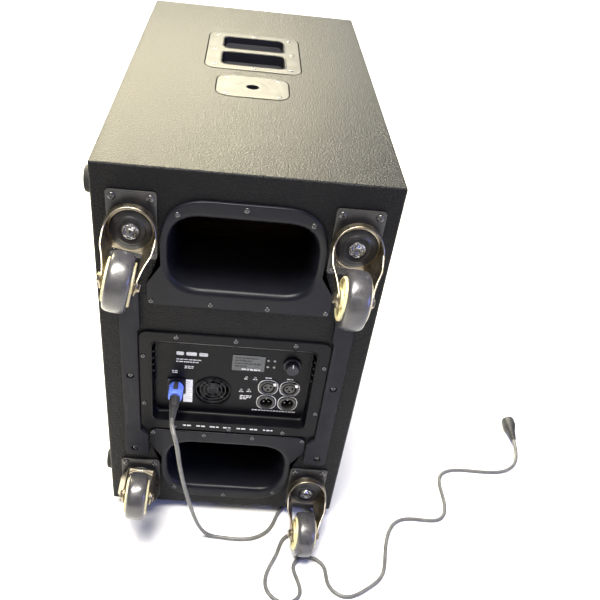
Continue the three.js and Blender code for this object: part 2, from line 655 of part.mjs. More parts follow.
function powerLead() {
  const { x, z } = INLET;
  const d = RECESS.depth;
  const collar = joined(
    rod(9.6, -d - 18, -d + 3, x, z, 18),
    rod(13, -d + 2.8, 12, x, z, 24),
    rod(9, 11.9, 33, x, z, 18, 8),
    rod(6.5, 32.9, 58, x, z, 16, 4.4),
  );
  rearFace.add(part('power_plug', collar, F.blue));

  const circle = new THREE.Shape();
  circle.absarc(0, 0, CORD_D / 2, 0, 2 * Math.PI, false);
  const tube = new THREE.ExtrudeGeometry(circle, {
    steps: 76, curveSegments: 4, bevelEnabled: false, extrudePath: cordCurve(),
  });
  cabinet.add(part('power_cord', tube, F.cord));

  // Far plug: lies on the floor in line with the lead's end.
  const body = joined(
    rod(4.4, 0.3, 26, 0, 0, 16, 8),
    solid(new THREE.CylinderGeometry(13, 9, 14, 18).rotateX(Math.PI / 2), shift(0, 0, 32.9)),
    rod(13, 39.8, 58, 0, 0, 18),
    box(-8.1, -6.5, -3.2, 3.2, 57.9, 76),
    box(6.5, 8.1, -3.2, 3.2, 57.9, 76),
    rod(2.4, 57.9, 78, 0, 7, 12),
  );
  const plug = part('mains_plug', body, F.rubber);
  const end = CORD_ROUTE.at(-1);
  const before = CORD_ROUTE.at(-2);
  plug.position.set(...end);
  plug.rotation.set(-Math.PI / 2, 0, Math.atan2(end[0] - before[0], end[1] - before[1]) * -1, 'ZXY');
  cabinet.add(plug);
}

// ---------------------------------------------------------------- assembly
panels();
cabinet.add(part('front_grille', frontGrille(), F.blackSteel));
feet();
topFittings();
rearPanel();
port('upper_port', UPPER_PORT_Z, true);
port('lower_port', LOWER_PORT_Z, false);
skids();
ampTray();
ampInside();
fanRotor();
controls();
xlrSockets();
powerInlet();
caster('upper_left', -KINGPIN_X, KINGPIN_Z[1], -11);
caster('upper_right', KINGPIN_X, KINGPIN_Z[1], -5);
caster('lower_left', -KINGPIN_X, KINGPIN_Z[0], 175);
caster('lower_right', KINGPIN_X, KINGPIN_Z[0], -4);
driver('rear', BAFFLE_Y.rear - GAP, DRIVER_Z.rear, -1);
driver('front', BAFFLE_Y.front + PLY + GAP, DRIVER_Z.front, 1);
powerLead();

const REAR_OVERHANG = CASTER_REACH + WHEEL_R;
cabinet.position.set(SIDE_FOOT_H / 2, (REAR_OVERHANG - CAB_D) / 2, FOOT_H);

const model = new THREE.Group();
model.add(cabinet);
export default model;
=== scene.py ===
# Powered subwoofer with rear ports, an amplifier tray and swivel casters: the finished
# look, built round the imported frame. Pieces are drawn in millimetres in one of three
# local frames (cabinet, rear face, top face) and placed by that frame's matrix.
import json
import math
import random

import bmesh
import bpy
from mathutils import Matrix, Vector


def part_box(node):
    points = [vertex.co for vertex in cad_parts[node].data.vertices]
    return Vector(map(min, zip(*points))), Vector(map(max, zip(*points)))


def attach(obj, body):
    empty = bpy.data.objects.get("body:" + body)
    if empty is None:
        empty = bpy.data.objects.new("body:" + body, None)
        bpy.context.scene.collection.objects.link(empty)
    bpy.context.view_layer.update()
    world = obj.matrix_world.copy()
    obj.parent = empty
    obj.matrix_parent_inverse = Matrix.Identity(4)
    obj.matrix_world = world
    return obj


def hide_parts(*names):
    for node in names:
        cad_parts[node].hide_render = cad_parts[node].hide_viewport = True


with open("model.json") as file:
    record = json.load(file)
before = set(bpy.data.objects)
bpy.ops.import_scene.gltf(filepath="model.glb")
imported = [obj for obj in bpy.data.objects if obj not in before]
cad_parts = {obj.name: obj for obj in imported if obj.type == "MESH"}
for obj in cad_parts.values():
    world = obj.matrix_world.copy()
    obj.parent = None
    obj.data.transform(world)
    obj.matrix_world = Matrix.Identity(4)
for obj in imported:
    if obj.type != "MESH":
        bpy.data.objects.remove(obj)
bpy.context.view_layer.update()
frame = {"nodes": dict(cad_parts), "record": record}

# ------------------ frames and sizes
MM = 0.001
CABINET_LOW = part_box("bottom_panel")[0]
CABINET_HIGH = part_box("top_panel")[1]
ORIGIN = Vector(((CABINET_LOW.x + CABINET_HIGH.x) / 2, CABINET_LOW.y, CABINET_LOW.z))
CAB_W, CAB_D, CAB_H = [(CABINET_HIGH[i] - CABINET_LOW[i]) / MM for i in range(3)]
CABINET = Matrix.Translation(ORIGIN) @ Matrix.Scale(MM, 4)
REAR = CABINET @ Matrix.Rotation(math.pi / 2, 4, "X")
TOP = CABINET @ Matrix.Translation((0, 0, CAB_H))

PLY = 15
CLEAR = 0.3                        # a fitting stands this far off the panel behind it
EDGE_R = 3.5                       # rounded edge of the coated cabinet
KINGPIN_X = 140
KINGPIN_Z = {"lower": 60, "upper": 533}
SWIVEL = {"upper_left": -11, "upper_right": -5, "lower_left": 175, "lower_right": -4}
TRAIL = 38
REACH = 73
FORK_R = 33
FORK_HALF = 21.5
SHEET = 2.5

PORT_HALF = 124
PORT_H = 155.5
PORTS = {"upper": (418, 1), "lower": (179.5, -1)}    # flat edge, direction of the arch
PORT_DEPTH = 130
MOUTH = {"half": 96, "lo": 28, "hi": 132, "r": 44}
TRAY = {"half": 136.5, "z0": 183, "z1": 371, "t": 3.5}
RECESS = {"half": 118, "z0": 203, "z1": 353, "depth": 16}
SKID = {"outer": 162, "inner": (126, 137.5, 134), "z0": 122, "z1": 476, "t": 7}
HANDLE = {"y": 461, "half": 76, "l": 188, "r": 20, "slot": 51, "bar": 10, "reach": 72, "t": 0.9}
POLE = {"y": 295, "half": 53.5, "l": 88, "r": 24, "bore": 9, "t": 0.9}
GRIP_CUT = (66, 84)      # half width and half length of the opening under the handle plate
POLE_CUT_R = 22
GAP = 2.0                # width of the black ring painted as the shadow in the groove round a top plate
GAP_RISE = 0.35
XLR_X = (55, 88)
XLR_Z = {"input": 265.5, "output": 235}
LCD = {"x": 21.7, "z": 310.8, "w": 49, "h": 30.5}
KNOB = {"x": 86.7, "z": 313, "r": 14}
FAN = {"x": -28.7, "z": 250, "r": 27}
INLET = {"x": -84, "z": 257}
CORD_D = 6.5
FOOT_H = 20
CORD_LAY = -FOOT_H + CORD_D / 2 + 0.25


def placed(name, data):
    obj = bpy.data.objects.new(name, data)
    bpy.context.scene.collection.objects.link(obj)
    return obj


# ------------------ camera
def camera():
    data = bpy.data.cameras.new("camera")
    data.lens = 42.05
    data.sensor_width = 36
    data.shift_x = 0.0615
    data.shift_y = 0.1605
    obj = placed("camera", data)
    obj.location = (-0.0118, -1.0919, 0.9930)
    obj.rotation_euler = [math.radians(a) for a in (47.614, -5.309, -0.031)]
    bpy.context.scene.camera = obj


# ------------------ node materials
class Look:
    """A procedural finish: a base colour broken up by noise, roughness that varies, bumps."""

    def __init__(self, name, base, roughness, metallic=0.0, specular=0.5, coat=0.0):
        self.name = name
        self.material = bpy.data.materials.new(name)
        self.material.use_nodes = True
        self.nodes = self.material.node_tree.nodes
        self.links = self.material.node_tree.links
        self.shader = self.nodes["Principled BSDF"]
        self.shader.inputs["Metallic"].default_value = metallic
        self.shader.inputs["Specular IOR Level"].default_value = specular
        self.shader.inputs["Coat Weight"].default_value = coat
        self.place = self.nodes.new("ShaderNodeTexCoord").outputs["Object"]
        self.colour = None
        self.base = (*base, 1)
        self.shader.inputs["Base Color"].default_value = self.base
        self.shader.inputs["Roughness"].default_value = roughness
        self.normal = None

    def link(self, a, b):
        self.links.new(a, b)

    def node(self, kind, **values):
        """A new node; an underscore in a value's name stands for a space."""
        n = self.nodes.new(f"ShaderNode{kind}")
        for key, value in values.items():
            n.inputs[key.replace("_", " ")].default_value = value
        return n

    def noise(self, scale, detail=4.0, stretch=None):
        n = self.node("TexNoise", Scale=scale, Detail=detail, Roughness=0.55)
        self.link(self.stretched(stretch), n.inputs["Vector"])
        return n.outputs["Fac"]

    def cells(self, scale, feature="SMOOTH_F1"):
        n = self.nodes.new("ShaderNodeTexVoronoi")
        n.feature = feature
        n.inputs["Scale"].default_value = scale
        self.link(self.place, n.inputs["Vector"])
        return n.outputs["Distance"]

    def stretched(self, stretch):
        if stretch is None:
            return self.place
        m = self.node("Mapping", Scale=stretch)
        self.link(self.place, m.inputs["Vector"])
        return m.outputs["Vector"]

    def ramp(self, value, low, high, to_low=0.0, to_high=1.0):
        m = self.node("MapRange", From_Min=low, From_Max=high, To_Min=to_low, To_Max=to_high)
        self.link(value, m.inputs["Value"])
        return m.outputs["Result"]

    def tint(self, mask, other):
        """Mixes another colour in where the mask is 1."""
        m = self.nodes.new("ShaderNodeMix")
        m.data_type = "RGBA"
        self.link(mask, m.inputs["Factor"])
        a, b, result = m.inputs[6], m.inputs[7], m.outputs[2]    # the colour sockets
        if self.colour is None:
            a.default_value = self.base
        else:
            self.link(self.colour, a)
        b.default_value = (*other, 1)
        self.colour = result
        self.link(result, self.shader.inputs["Base Color"])
        return self

    def mottle(self, scale, other, low=0.42, high=0.62, stretch=None):
        return self.tint(self.ramp(self.noise(scale, stretch=stretch), low, high), other)

    def vary_roughness(self, scale, to_low, to_high):
        n = self.ramp(self.noise(scale), 0.3, 0.7, to_low, to_high)
        self.link(n, self.shader.inputs["Roughness"])
        return self

    def bump(self, height, distance, strength=1.0):
        b = self.node("Bump", Distance=distance, Strength=strength)
        self.link(height, b.inputs["Height"])
        if self.normal is not None:
            self.link(self.normal, b.inputs["Normal"])
        self.normal = b.outputs["Normal"]
        self.link(self.normal, self.shader.inputs["Normal"])
        return self


def finish(name, base, roughness, mottles, wear=None, grain=None, **shader):
    """A finish of mottles, roughness that varies over wear and one grain of fine bumps."""
    look = Look(name, base, roughness, **shader)
    for mottle in mottles:
        look.mottle(*mottle)
    if wear:
        look.vary_roughness(*wear)
    if grain:
        (scale, detail, *stretch), distance, strength = grain
        look.bump(look.noise(scale, detail, stretch=stretch[0] if stretch else None), distance, strength)
    return look


def plastic(name, base, other, roughness, specular=0.5):
    wear = (120, roughness * 0.85, roughness * 1.15)
    return finish(name, base, roughness, [(70, other)], wear, ((1500, 2), 0.0001, 0.3), specular=specular)


def steel(name, base, other, low, high):
    stains = [(40, other), (300, tuple(c * 0.45 for c in base), 0.62, 0.78)]
    return finish(name, base, 0.35, stains, (120, low, high), ((500, 3), 0.0002, 0.25), metallic=1.0)


def coating():
    """Sprayed black texture coating: hard rounded grains under a finer roughness."""
    look = finish(
        "coating", (0.0048, 0.0048, 0.0058), 0.45,
        # the lighter specks of the 420 mottle are painted sparkle, glints of light off the grains
        [(9, (0.0062, 0.0062, 0.0070)), (420, (0.013, 0.0125, 0.012), 0.58, 0.75)],
        (500, 0.30, 0.50), specular=0.13,
    )
    look.bump(look.cells(460), 0.0008, 1.0)
    return look.bump(look.noise(900, 2), 0.0006, 0.9)


def board():
    """Green circuit board with pale solder points."""
    look = Look("board", (0.012, 0.075, 0.035), 0.35, coat=0.3)
    look.tint(look.ramp(look.cells(260, "F1"), 0.10, 0.16, 1, 0), (0.45, 0.36, 0.16))
    look.mottle(90, (0.008, 0.05, 0.024))
    return look.bump(look.cells(260, "F1"), 0.0002, 0.3)


LOOKS = {}
ALONG = (1, 1, 0.2)        # stretches that draw a pattern out along one axis
STREAK = (1, 1, 0.12)
GRAIN = (0.1, 1, 3)


def make_looks():
    made = [
        coating(),
        finish("moulding", (0.0060, 0.0063, 0.0098), 0.32, [(14, (0.0075, 0.0078, 0.0115))],
               (35, 0.30, 0.38), ((2600, 2), 0.00012, 0.35), specular=0.17),
        finish("top_plate", (0.0060, 0.0063, 0.0090), 0.42, [(14, (0.0075, 0.0078, 0.0115))],
               (35, 0.38, 0.46), ((2000, 2), 0.00016, 0.5), specular=0.16),
        finish("rub_strip", (0.0078, 0.0085, 0.0135), 0.5,
               [(22, (0.0115, 0.0115, 0.0150), 0.42, 0.62, ALONG),
                (160, (0.020, 0.020, 0.024), 0.60, 0.72, STREAK)],
               (50, 0.40, 0.60), ((900, 2, (1, 1, 0.3)), 0.0002, 0.3), specular=0.16),
        finish("amp_panel", (0.0020, 0.0020, 0.0032), 0.30, [(30, (0.0030, 0.0030, 0.0044))],
               (80, 0.28, 0.38), ((1800, 2), 0.00015, 0.4), specular=0.14),
        finish("black_steel", (0.014, 0.014, 0.015), 0.38, [(60, (0.024, 0.022, 0.020))],
               (90, 0.30, 0.48), ((1400, 2), 0.00012, 0.35), specular=0.6),
        finish("wheel_tread", (0.040, 0.039, 0.044), 0.3,
               [(38, (0.062, 0.059, 0.058), 0.42, 0.66), (300, (0.026, 0.025, 0.028), 0.60, 0.78)],
               (90, 0.22, 0.42), ((260, 3), 0.00025, 0.35), specular=0.6, coat=0.25),
        finish("plywood", (0.36, 0.24, 0.14), 0.7,
               [(30, (0.25, 0.155, 0.085), 0.42, 0.62, (0.25, 1, 4)),
                (160, (0.43, 0.30, 0.18), 0.42, 0.62, GRAIN)],
               grain=((400, 3, GRAIN), 0.0003, 0.4)),
        board(),
        finish("cone", (0.014, 0.014, 0.0145), 0.8, [(220, (0.026, 0.025, 0.024))],
               grain=((900, 4), 0.0004, 0.6), specular=0.3),
        finish("display", (0.036, 0.042, 0.047), 0.14,
               [(55, (0.050, 0.056, 0.060), 0.42, 0.62, (1, 1, 3))], (40, 0.08, 0.16), coat=0.3),
        steel("zinc_steel", (0.36, 0.32, 0.25), (0.25, 0.21, 0.15), 0.26, 0.44),
        steel("bright_steel", (0.62, 0.62, 0.63), (0.50, 0.50, 0.52), 0.18, 0.34),
        steel("aluminium", (0.66, 0.67, 0.69), (0.56, 0.57, 0.60), 0.32, 0.5),
        plastic("screw", (0.018, 0.018, 0.021), (0.034, 0.034, 0.036), 0.22, 0.8),
        plastic("foot_rubber", (0.013, 0.013, 0.014), (0.022, 0.021, 0.020), 0.72, 0.3),
        # flat black with no reflection: painted shadow for the groove round the top plates
        plastic("seal_and_gap_shadow", (0.004, 0.004, 0.004), (0.006, 0.006, 0.006), 0.95, 0.0),
        plastic("wheel_hub", (0.72, 0.66, 0.40), (0.62, 0.54, 0.28), 0.42),
        plastic("knob_plastic", (0.010, 0.011, 0.017), (0.016, 0.016, 0.022), 0.38, 0.3),
        plastic("plug_blue", (0.16, 0.27, 0.95), (0.12, 0.20, 0.80), 0.30),
        plastic("cord_jacket", (0.095, 0.094, 0.090), (0.14, 0.138, 0.13), 0.40),
        plastic("boot", (0.022, 0.022, 0.024), (0.036, 0.036, 0.036), 0.48),
        plastic("print_white", (0.66, 0.66, 0.67), (0.52, 0.52, 0.53), 0.5),
        plastic("label", (0.80, 0.80, 0.80), (0.70, 0.70, 0.70), 0.4),
        plastic("label_ink", (0.30, 0.30, 0.31), (0.38, 0.38, 0.38), 0.5),
        plastic("lamp", (0.42, 0.42, 0.40), (0.32, 0.33, 0.31), 0.2),
    ]
    LOOKS.update({look.name: look.material for look in made})


# ------------------ shape kit
def circle(r, z=0.0, sides=48, at=(0, 0), lobes=0, depth=0.0):
    """A ring of points; lobes and depth make it wavy."""
    points = []
    for i in range(sides):
        a = 2 * math.pi * i / sides
        k = r * (1 - depth * (0.5 - 0.5 * math.cos(lobes * a)))
        points.append(Vector((at[0] + k * math.cos(a), at[1] + k * math.sin(a), z)))
    return points


def rounded(corners, z=0.0, per_corner=10):
    """A ring round a polygon whose corners (x, y, radius) are rounded as in the CAD."""
    n = len(corners)
    ring = []
    for i, (x, y, r) in enumerate(corners):
        at = Vector((x, y, z))
        to_prev = (Vector((*corners[i - 1][:2], z)) - at).normalized()
        to_next = (Vector((*corners[(i + 1) % n][:2], z)) - at).normalized()
        reach = r / math.tan(to_prev.angle(to_next) / 2)
        start, end = at + to_prev * reach, at + to_next * reach
        for k in range(per_corner):
            t = k / (per_corner - 1)
            ring.append(start * (1 - t) ** 2 + at * (2 * t * (1 - t)) + end * t ** 2)
    return ring


def rectangle(x0, x1, y0, y1, r, z=0.0, per_corner=8):
    return rounded([(x0, y0, r), (x1, y0, r), (x1, y1, r), (x0, y1, r)], z, per_corner)


def at_height(ring, z):
    return [Vector((p.x, p.y, z)) for p in ring]


def smoothed(mesh, angle):
    mesh.polygons.foreach_set("use_smooth", [True] * len(mesh.polygons))
    mesh.set_sharp_from_angle(angle=math.radians(angle))
    return mesh


class Form:
    """Collects closed shapes in one local frame and turns them into one mesh."""

    def __init__(self, place):
        self.place = place
        self.verts = []
        self.faces = []

    def add(self, points, faces, m=None):
        base = len(self.verts)
        self.verts += [(m @ p) if m else p.copy() for p in points]
        self.faces += [[base + i for i in f] for f in faces]
        return self

    def loft(self, rings, m=None, loop=False, caps=(True, True)):
        """Skins a row of rings; loop joins the last ring to the first."""
        n = len(rings[0])
        points = [p for ring in rings for p in ring]
        faces = []
        for k in range(len(rings) if loop else len(rings) - 1):
            j = (k + 1) % len(rings)
            for i in range(n):
                i2 = (i + 1) % n
                faces.append([k * n + i, k * n + i2, j * n + i2, j * n + i])
        if not loop:
            if caps[0]:
                faces.append(list(range(n))[::-1])
            if caps[1]:
                faces.append([(len(rings) - 1) * n + i for i in range(n)])
        return self.add(points, faces, m)

    def lathe(self, profile, sides=48, m=None, loop=False, at=(0, 0)):
        rings = [circle(max(r, 0.001), h, sides, at) for r, h in profile]
        return self.loft(rings, m, loop)

    def hoop(self, radius, wire, z=0.0, at=(0, 0), sides=64):
        """A ring of round wire."""
        turns = [2 * math.pi * i / 8 for i in range(8)]
        profile = [(radius + wire * math.cos(a), z + wire * math.sin(a)) for a in turns]
        return self.lathe(profile, sides, loop=True, at=at)

    def block(self, x0, x1, y0, y1, z0, z1, bevel=0.4, m=None):
        b = bevel
        inner = rectangle(x0 + b, x1 - b, y0 + b, y1 - b, b, per_corner=3)
        outer = rectangle(x0, x1, y0, y1, 2 * b, per_corner=3)
        steps = [(inner, z0), (outer, z0 + b), (outer, z1 - b), (inner, z1)]
        return self.loft([at_height(*step) for step in steps], m)

    def wire(self, points, radius, sides=10):
        """A round bar along a list of points."""
        rings = []
        for i, p in enumerate(points):
            before = points[max(i - 1, 0)]
            after = points[min(i + 1, len(points) - 1)]
            turn = (after - before).to_track_quat("Z", "Y").to_matrix()
            rings.append([p + turn @ q for q in circle(radius, 0, sides)])
        return self.loft(rings)

    def plate(self, outlines, z0, z1, bevel=0.4):
        """A flat plate: the first outline is its edge and the others are holes."""
        data = bpy.data.curves.new("outline", "CURVE")
        data.dimensions = "2D"
        data.fill_mode = "BOTH"
        data.extrude = (z1 - z0) / 2 - bevel
        data.bevel_depth = bevel
        data.bevel_resolution = 1
        data.offset = -bevel
        for outline in outlines:
            kept = [p for i, p in enumerate(outline) if (p - outline[i - 1]).length > 1e-3]
            spline = data.splines.new("POLY")
            spline.points.add(len(kept) - 1)
            spline.use_cyclic_u = True
            for point, p in zip(spline.points, kept):
                point.co = (p.x, p.y, 0, 1)
        obj = placed("outline", data)
        graph = bpy.context.evaluated_depsgraph_get()
        mesh = bpy.data.meshes.new_from_object(obj.evaluated_get(graph))
        points = [v.co + Vector((0, 0, (z0 + z1) / 2)) for v in mesh.vertices]
        self.add(points, [list(p.vertices) for p in mesh.polygons])
        bpy.data.objects.remove(obj)
        bpy.data.meshes.remove(mesh)
        bpy.data.curves.remove(data)
        return self

    def mesh(self, name, smooth_angle=35.0):
        mesh = bpy.data.meshes.new(name)
        mesh.from_pydata([self.place @ v for v in self.verts], [], self.faces)
        bm = bmesh.new()
        bm.from_mesh(mesh)
        bmesh.ops.remove_doubles(bm, verts=bm.verts, dist=2e-6)
        bmesh.ops.dissolve_degenerate(bm, edges=bm.edges, dist=1e-6)
        bmesh.ops.recalc_face_normals(bm, faces=bm.faces)
        bm.to_mesh(mesh)
        bm.free()
        return smoothed(mesh, smooth_angle)


def piece(name, shape, look, body="root", replaces=(), smooth_angle=35.0):
    """One finished object from a form or a mesh, riding on its body."""
    mesh = shape.mesh(name, smooth_angle) if isinstance(shape, Form) else shape
    obj = placed(name, mesh)
    mesh.materials.append(LOOKS[look])
    weighted = obj.modifiers.new("flat_faces", "WEIGHTED_NORMAL")
    weighted.keep_sharp = True
    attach(obj, body)
    if replaces:
        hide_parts(*replaces)
    return obj


def carved(form, cutters, name):
    """The form's mesh with each cutter form taken away."""
    made = [placed(f"{name}_{i}", f.mesh(f"{name}_{i}")) for i, f in enumerate([form, *cutters])]
    for cutter in made[1:]:
        m = made[0].modifiers.new("cut", "BOOLEAN")
        m.operation = "DIFFERENCE"
        m.solver = "EXACT"
        m.object = cutter
    dg = bpy.context.evaluated_depsgraph_get()
    mesh = bpy.data.meshes.new_from_object(made[0].evaluated_get(dg))
    mesh.name = name
    for obj in made:
        bpy.data.objects.remove(obj)
    return smoothed(mesh, 35)


# ------------------ screws
def screw_head(form, x, y, z, r=4.2, rise=2.4, turn=0.0):
    """A pan head with a cross recess, standing on z."""
    place = Matrix.Translation((x, y, z)) @ Matrix.Rotation(turn, 4, "Z")
    rings = [circle(r, 0, 24), circle(r, rise * 0.35, 24)]
    for k in range(1, 5):
        a = k * math.pi / 9
        rings.append(circle(r * (0.42 + 0.58 * math.cos(a)), rise * (0.35 + 0.65 * math.sin(a)), 24))
    rings.append(circle(r * 0.46, rise, 24, lobes=4, depth=0.55))
    rings.append(circle(r * 0.36, rise * 0.45, 24, lobes=4, depth=0.6))
    return form.loft(rings, place)


def screws(name, place, spots, **size):
    """One piece of screw heads; each head is turned at random."""
    form = Form(place)
    turns = random.Random(len(name))
    for x, y, z in spots:
        screw_head(form, x, y, z, turn=turns.uniform(0, 1.5), **size)
    piece(name, form, "screw", smooth_angle=28)


# ------------------ the lead comes first
# Control points of the lead's middle line, as in the CAD: out of the plug, down to the
# floor, in loose curves over it, and up into the far plug.
ROUTE = [
    (INLET["x"], -58.3, INLET["z"]), (INLET["x"], -72, INLET["z"]), (-74, -94, 252),
    (-70, -96, 205), (-63, -90, 152), (-54, -79, 95), (-44, -65, 33), (-27, -57, -17),
]
FLOOR_ROUTE = [
    (5, -60), (52, -64), (90, -38), (98, 8), (134, 30), (168, 6), (162, -34), (130, -40),
    (104, -54), (99, -86), (80, -118), (72, -156), (101, -186), (137, -171), (132, -138),
    (117, -106), (148, -84), (182, -104), (174, -144), (208, -172), (246, -146), (280, -120),
    (284, -66), (303, -4), (342, 8), (400, -4), (417, 44), (405, 112), (445, 137), (530, 124),
]
ROUTE += [(x, y, CORD_LAY) for x, y in FLOOR_ROUTE]
ROUTE += [(582, 148, -14), (586, 190, -7.6), (587, 214, -7)]


def power_lead():
    data = bpy.data.curves.new("power_lead", "CURVE")
    data.dimensions = "3D"
    data.bevel_depth = CORD_D / 2 * MM
    data.bevel_resolution = 5
    data.resolution_u = 12
    data.use_fill_caps = True
    spline = data.splines.new("NURBS")
    spline.points.add(len(ROUTE) - 1)
    for point, p in zip(spline.points, ROUTE):
        point.co = (*(CABINET @ Vector(p)), 1)
    spline.order_u = 4
    spline.use_endpoint_u = True
    lead = placed("power_lead", data)
    data.materials.append(LOOKS["cord_jacket"])
    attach(lead, "root")
    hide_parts("power_cord")
    ends = blue_plug() + far_plug()


def blue_plug():
    """The locking plug in the power inlet: ribbed collar, bushing and tapered relief."""
    at = REAR @ Matrix.Translation((INLET["x"], INLET["z"], 0))
    collar = Form(at)
    sleeve = [(9.4, -33), (9.4, -13.2), (10.6, -13.2), (11, -12.6), (11, -9.5), (10.4, -8.8)]
    collar.lathe(sleeve, 48)
    grips = [(10.2, -8.9), (10.8, -7.5), (10.8, 6.5), (10.2, 8)]
    collar.loft([circle(r, h, 96, lobes=16, depth=0.09) for r, h in grips])
    collar.lathe([(9, 7.8), (10.7, 8.6), (10.8, 10.4), (10, 12), (7.6, 12.2)], 48)
    latch = Form(at)
    latch.block(-3.4, 3.4, 10.0, 12.2, -12.4, 4, 0.9)
    latch.block(-3.4, 3.4, 11.2, 12.9, -1, 4, 0.8)
    nut = Form(at)
    bushing = [(7.2, 12), (7.8, 12.8), (7.7, 24), (7.3, 30.5), (6.6, 33)]
    nut.loft([circle(r, h, 72, lobes=12, depth=0.06) for r, h in bushing])
    relief = Form(at)
    relief.lathe([(5.6, 31), (5.9, 33), (5.7, 36)], 32)
    for i in range(7):
        h, r = 36.5 + 3 * i, 5.7 - 0.22 * i
        relief.lathe([(r - 0.7, h - 0.6), (r, h), (r - 0.1, h + 1.5), (r - 0.8, h + 2.1)], 32)
    relief.lathe([(4.8, 35), (3.7, 57.2), (3.3, 58)], 32)
    return [
        piece("blue_plug_collar", collar, "plug_blue", replaces=["power_plug"]),
        piece("blue_plug_latch", latch, "boot"),
        piece("blue_plug_nut", nut, "boot"),
        piece("blue_plug_relief", relief, "boot"),
    ]


def far_plug():
    """The moulded mains plug, lying on the floor in line with the lead's end."""
    end, before = Vector(ROUTE[-1]), Vector(ROUTE[-2])
    heading = -math.atan2(end.x - before.x, end.y - before.y)
    at = CABINET @ Matrix.Translation(end)
    at = at @ Matrix.Rotation(heading, 4, "Z") @ Matrix.Rotation(-math.pi / 2, 4, "X")
    body = Form(at)
    body.lathe([(3.3, 0), (4.4, 0.4), (5.6, 10), (7.6, 24), (9.2, 28), (11.6, 35), (12.9, 40),
                (12.9, 55.5), (12.3, 57.4), (11, 58)], 48)
    for i in range(6):
        h, r = 4 + 3.6 * i, 5.2 + 0.46 * i
        body.lathe([(r - 0.8, h - 0.9), (r + 0.4, h - 0.4), (r + 0.5, h + 0.8), (r - 0.8, h + 1.4)], 32)
    knurl = [(12.4, 43), (13, 44.4), (13, 52), (12.4, 53.4)]
    body.loft([circle(r, h, 96, lobes=24, depth=0.03) for r, h in knurl])
    pins = Form(at)
    for x in (-7.3, 7.3):
        pins.block(x - 0.8, x + 0.8, -3.2, 3.2, 56, 76, 0.35)
    pins.lathe([(2.4, 56), (2.4, 76.4), (1.6, 78)], 24, at=(0, 7))
    return [
        piece("mains_plug_body", body, "boot", replaces=["mains_plug"]),
        piece("mains_plug_pins", pins, "bright_steel"),
    ]


# ------------------ cabinet
def slab(half, y0, y1, r, rings):
    """A rounded rectangle carried through [height, inset] rings."""
    return [
        rectangle(-half + i, half - i, y0 + i, y1 - i, max(r - i, 0.3), z)
        for z, i in rings
    ]


def eased(depth, r, steps=4):
    """[height, inset] rings of a block from -depth to 0 with rounded edges."""
    turn = [math.pi / 2 * i / steps for i in range(steps + 1)]
    low = [(-depth + r * (1 - math.sin(a)), r * (1 - math.cos(a))) for a in reversed(turn)]
    high = [(-r * (1 - math.sin(a)), r * (1 - math.cos(a))) for a in turn]
    return low + high


def cabinet_shell():
    half = CAB_W / 2
    shell = Form(REAR).loft(slab(half, 0, CAB_H, EDGE_R, eased(CAB_D, EDGE_R)))
    inside = Form(REAR)
    inside.loft(slab(half - PLY, PLY, CAB_H - PLY, 0.5, [(-CAB_D - 20, 0), (-PLY, 0)]))
    through = (-PLY - 5, 5)
    holes = []
    for flat, way in PORTS.values():
        holes.append(Form(REAR).loft([port_ring(mouth_side(3.8), z, flat, way) for z in through]))
    wide, margin = RECESS["half"] + 4, 4
    low, high = RECESS["z0"] - margin, RECESS["z1"] + margin
    holes.append(Form(REAR).loft([rectangle(-wide, wide, low, high, 12, z) for z in through]))
    wide, margin = GRIP_CUT
    low, high = HANDLE["y"] - margin, HANDLE["y"] + margin
    holes.append(Form(TOP).loft([rectangle(-wide, wide, low, high, 14, z) for z in through]))
    holes.append(Form(TOP).loft([circle(POLE_CUT_R, z, 48, (0, POLE["y"])) for z in through]))
    mesh = carved(shell, [inside, *holes], "cabinet_shell")
    panels = ["top_panel", "bottom_panel", "left_panel", "right_panel", "rear_panel"]
    piece("cabinet_shell", mesh, "coating", replaces=panels)


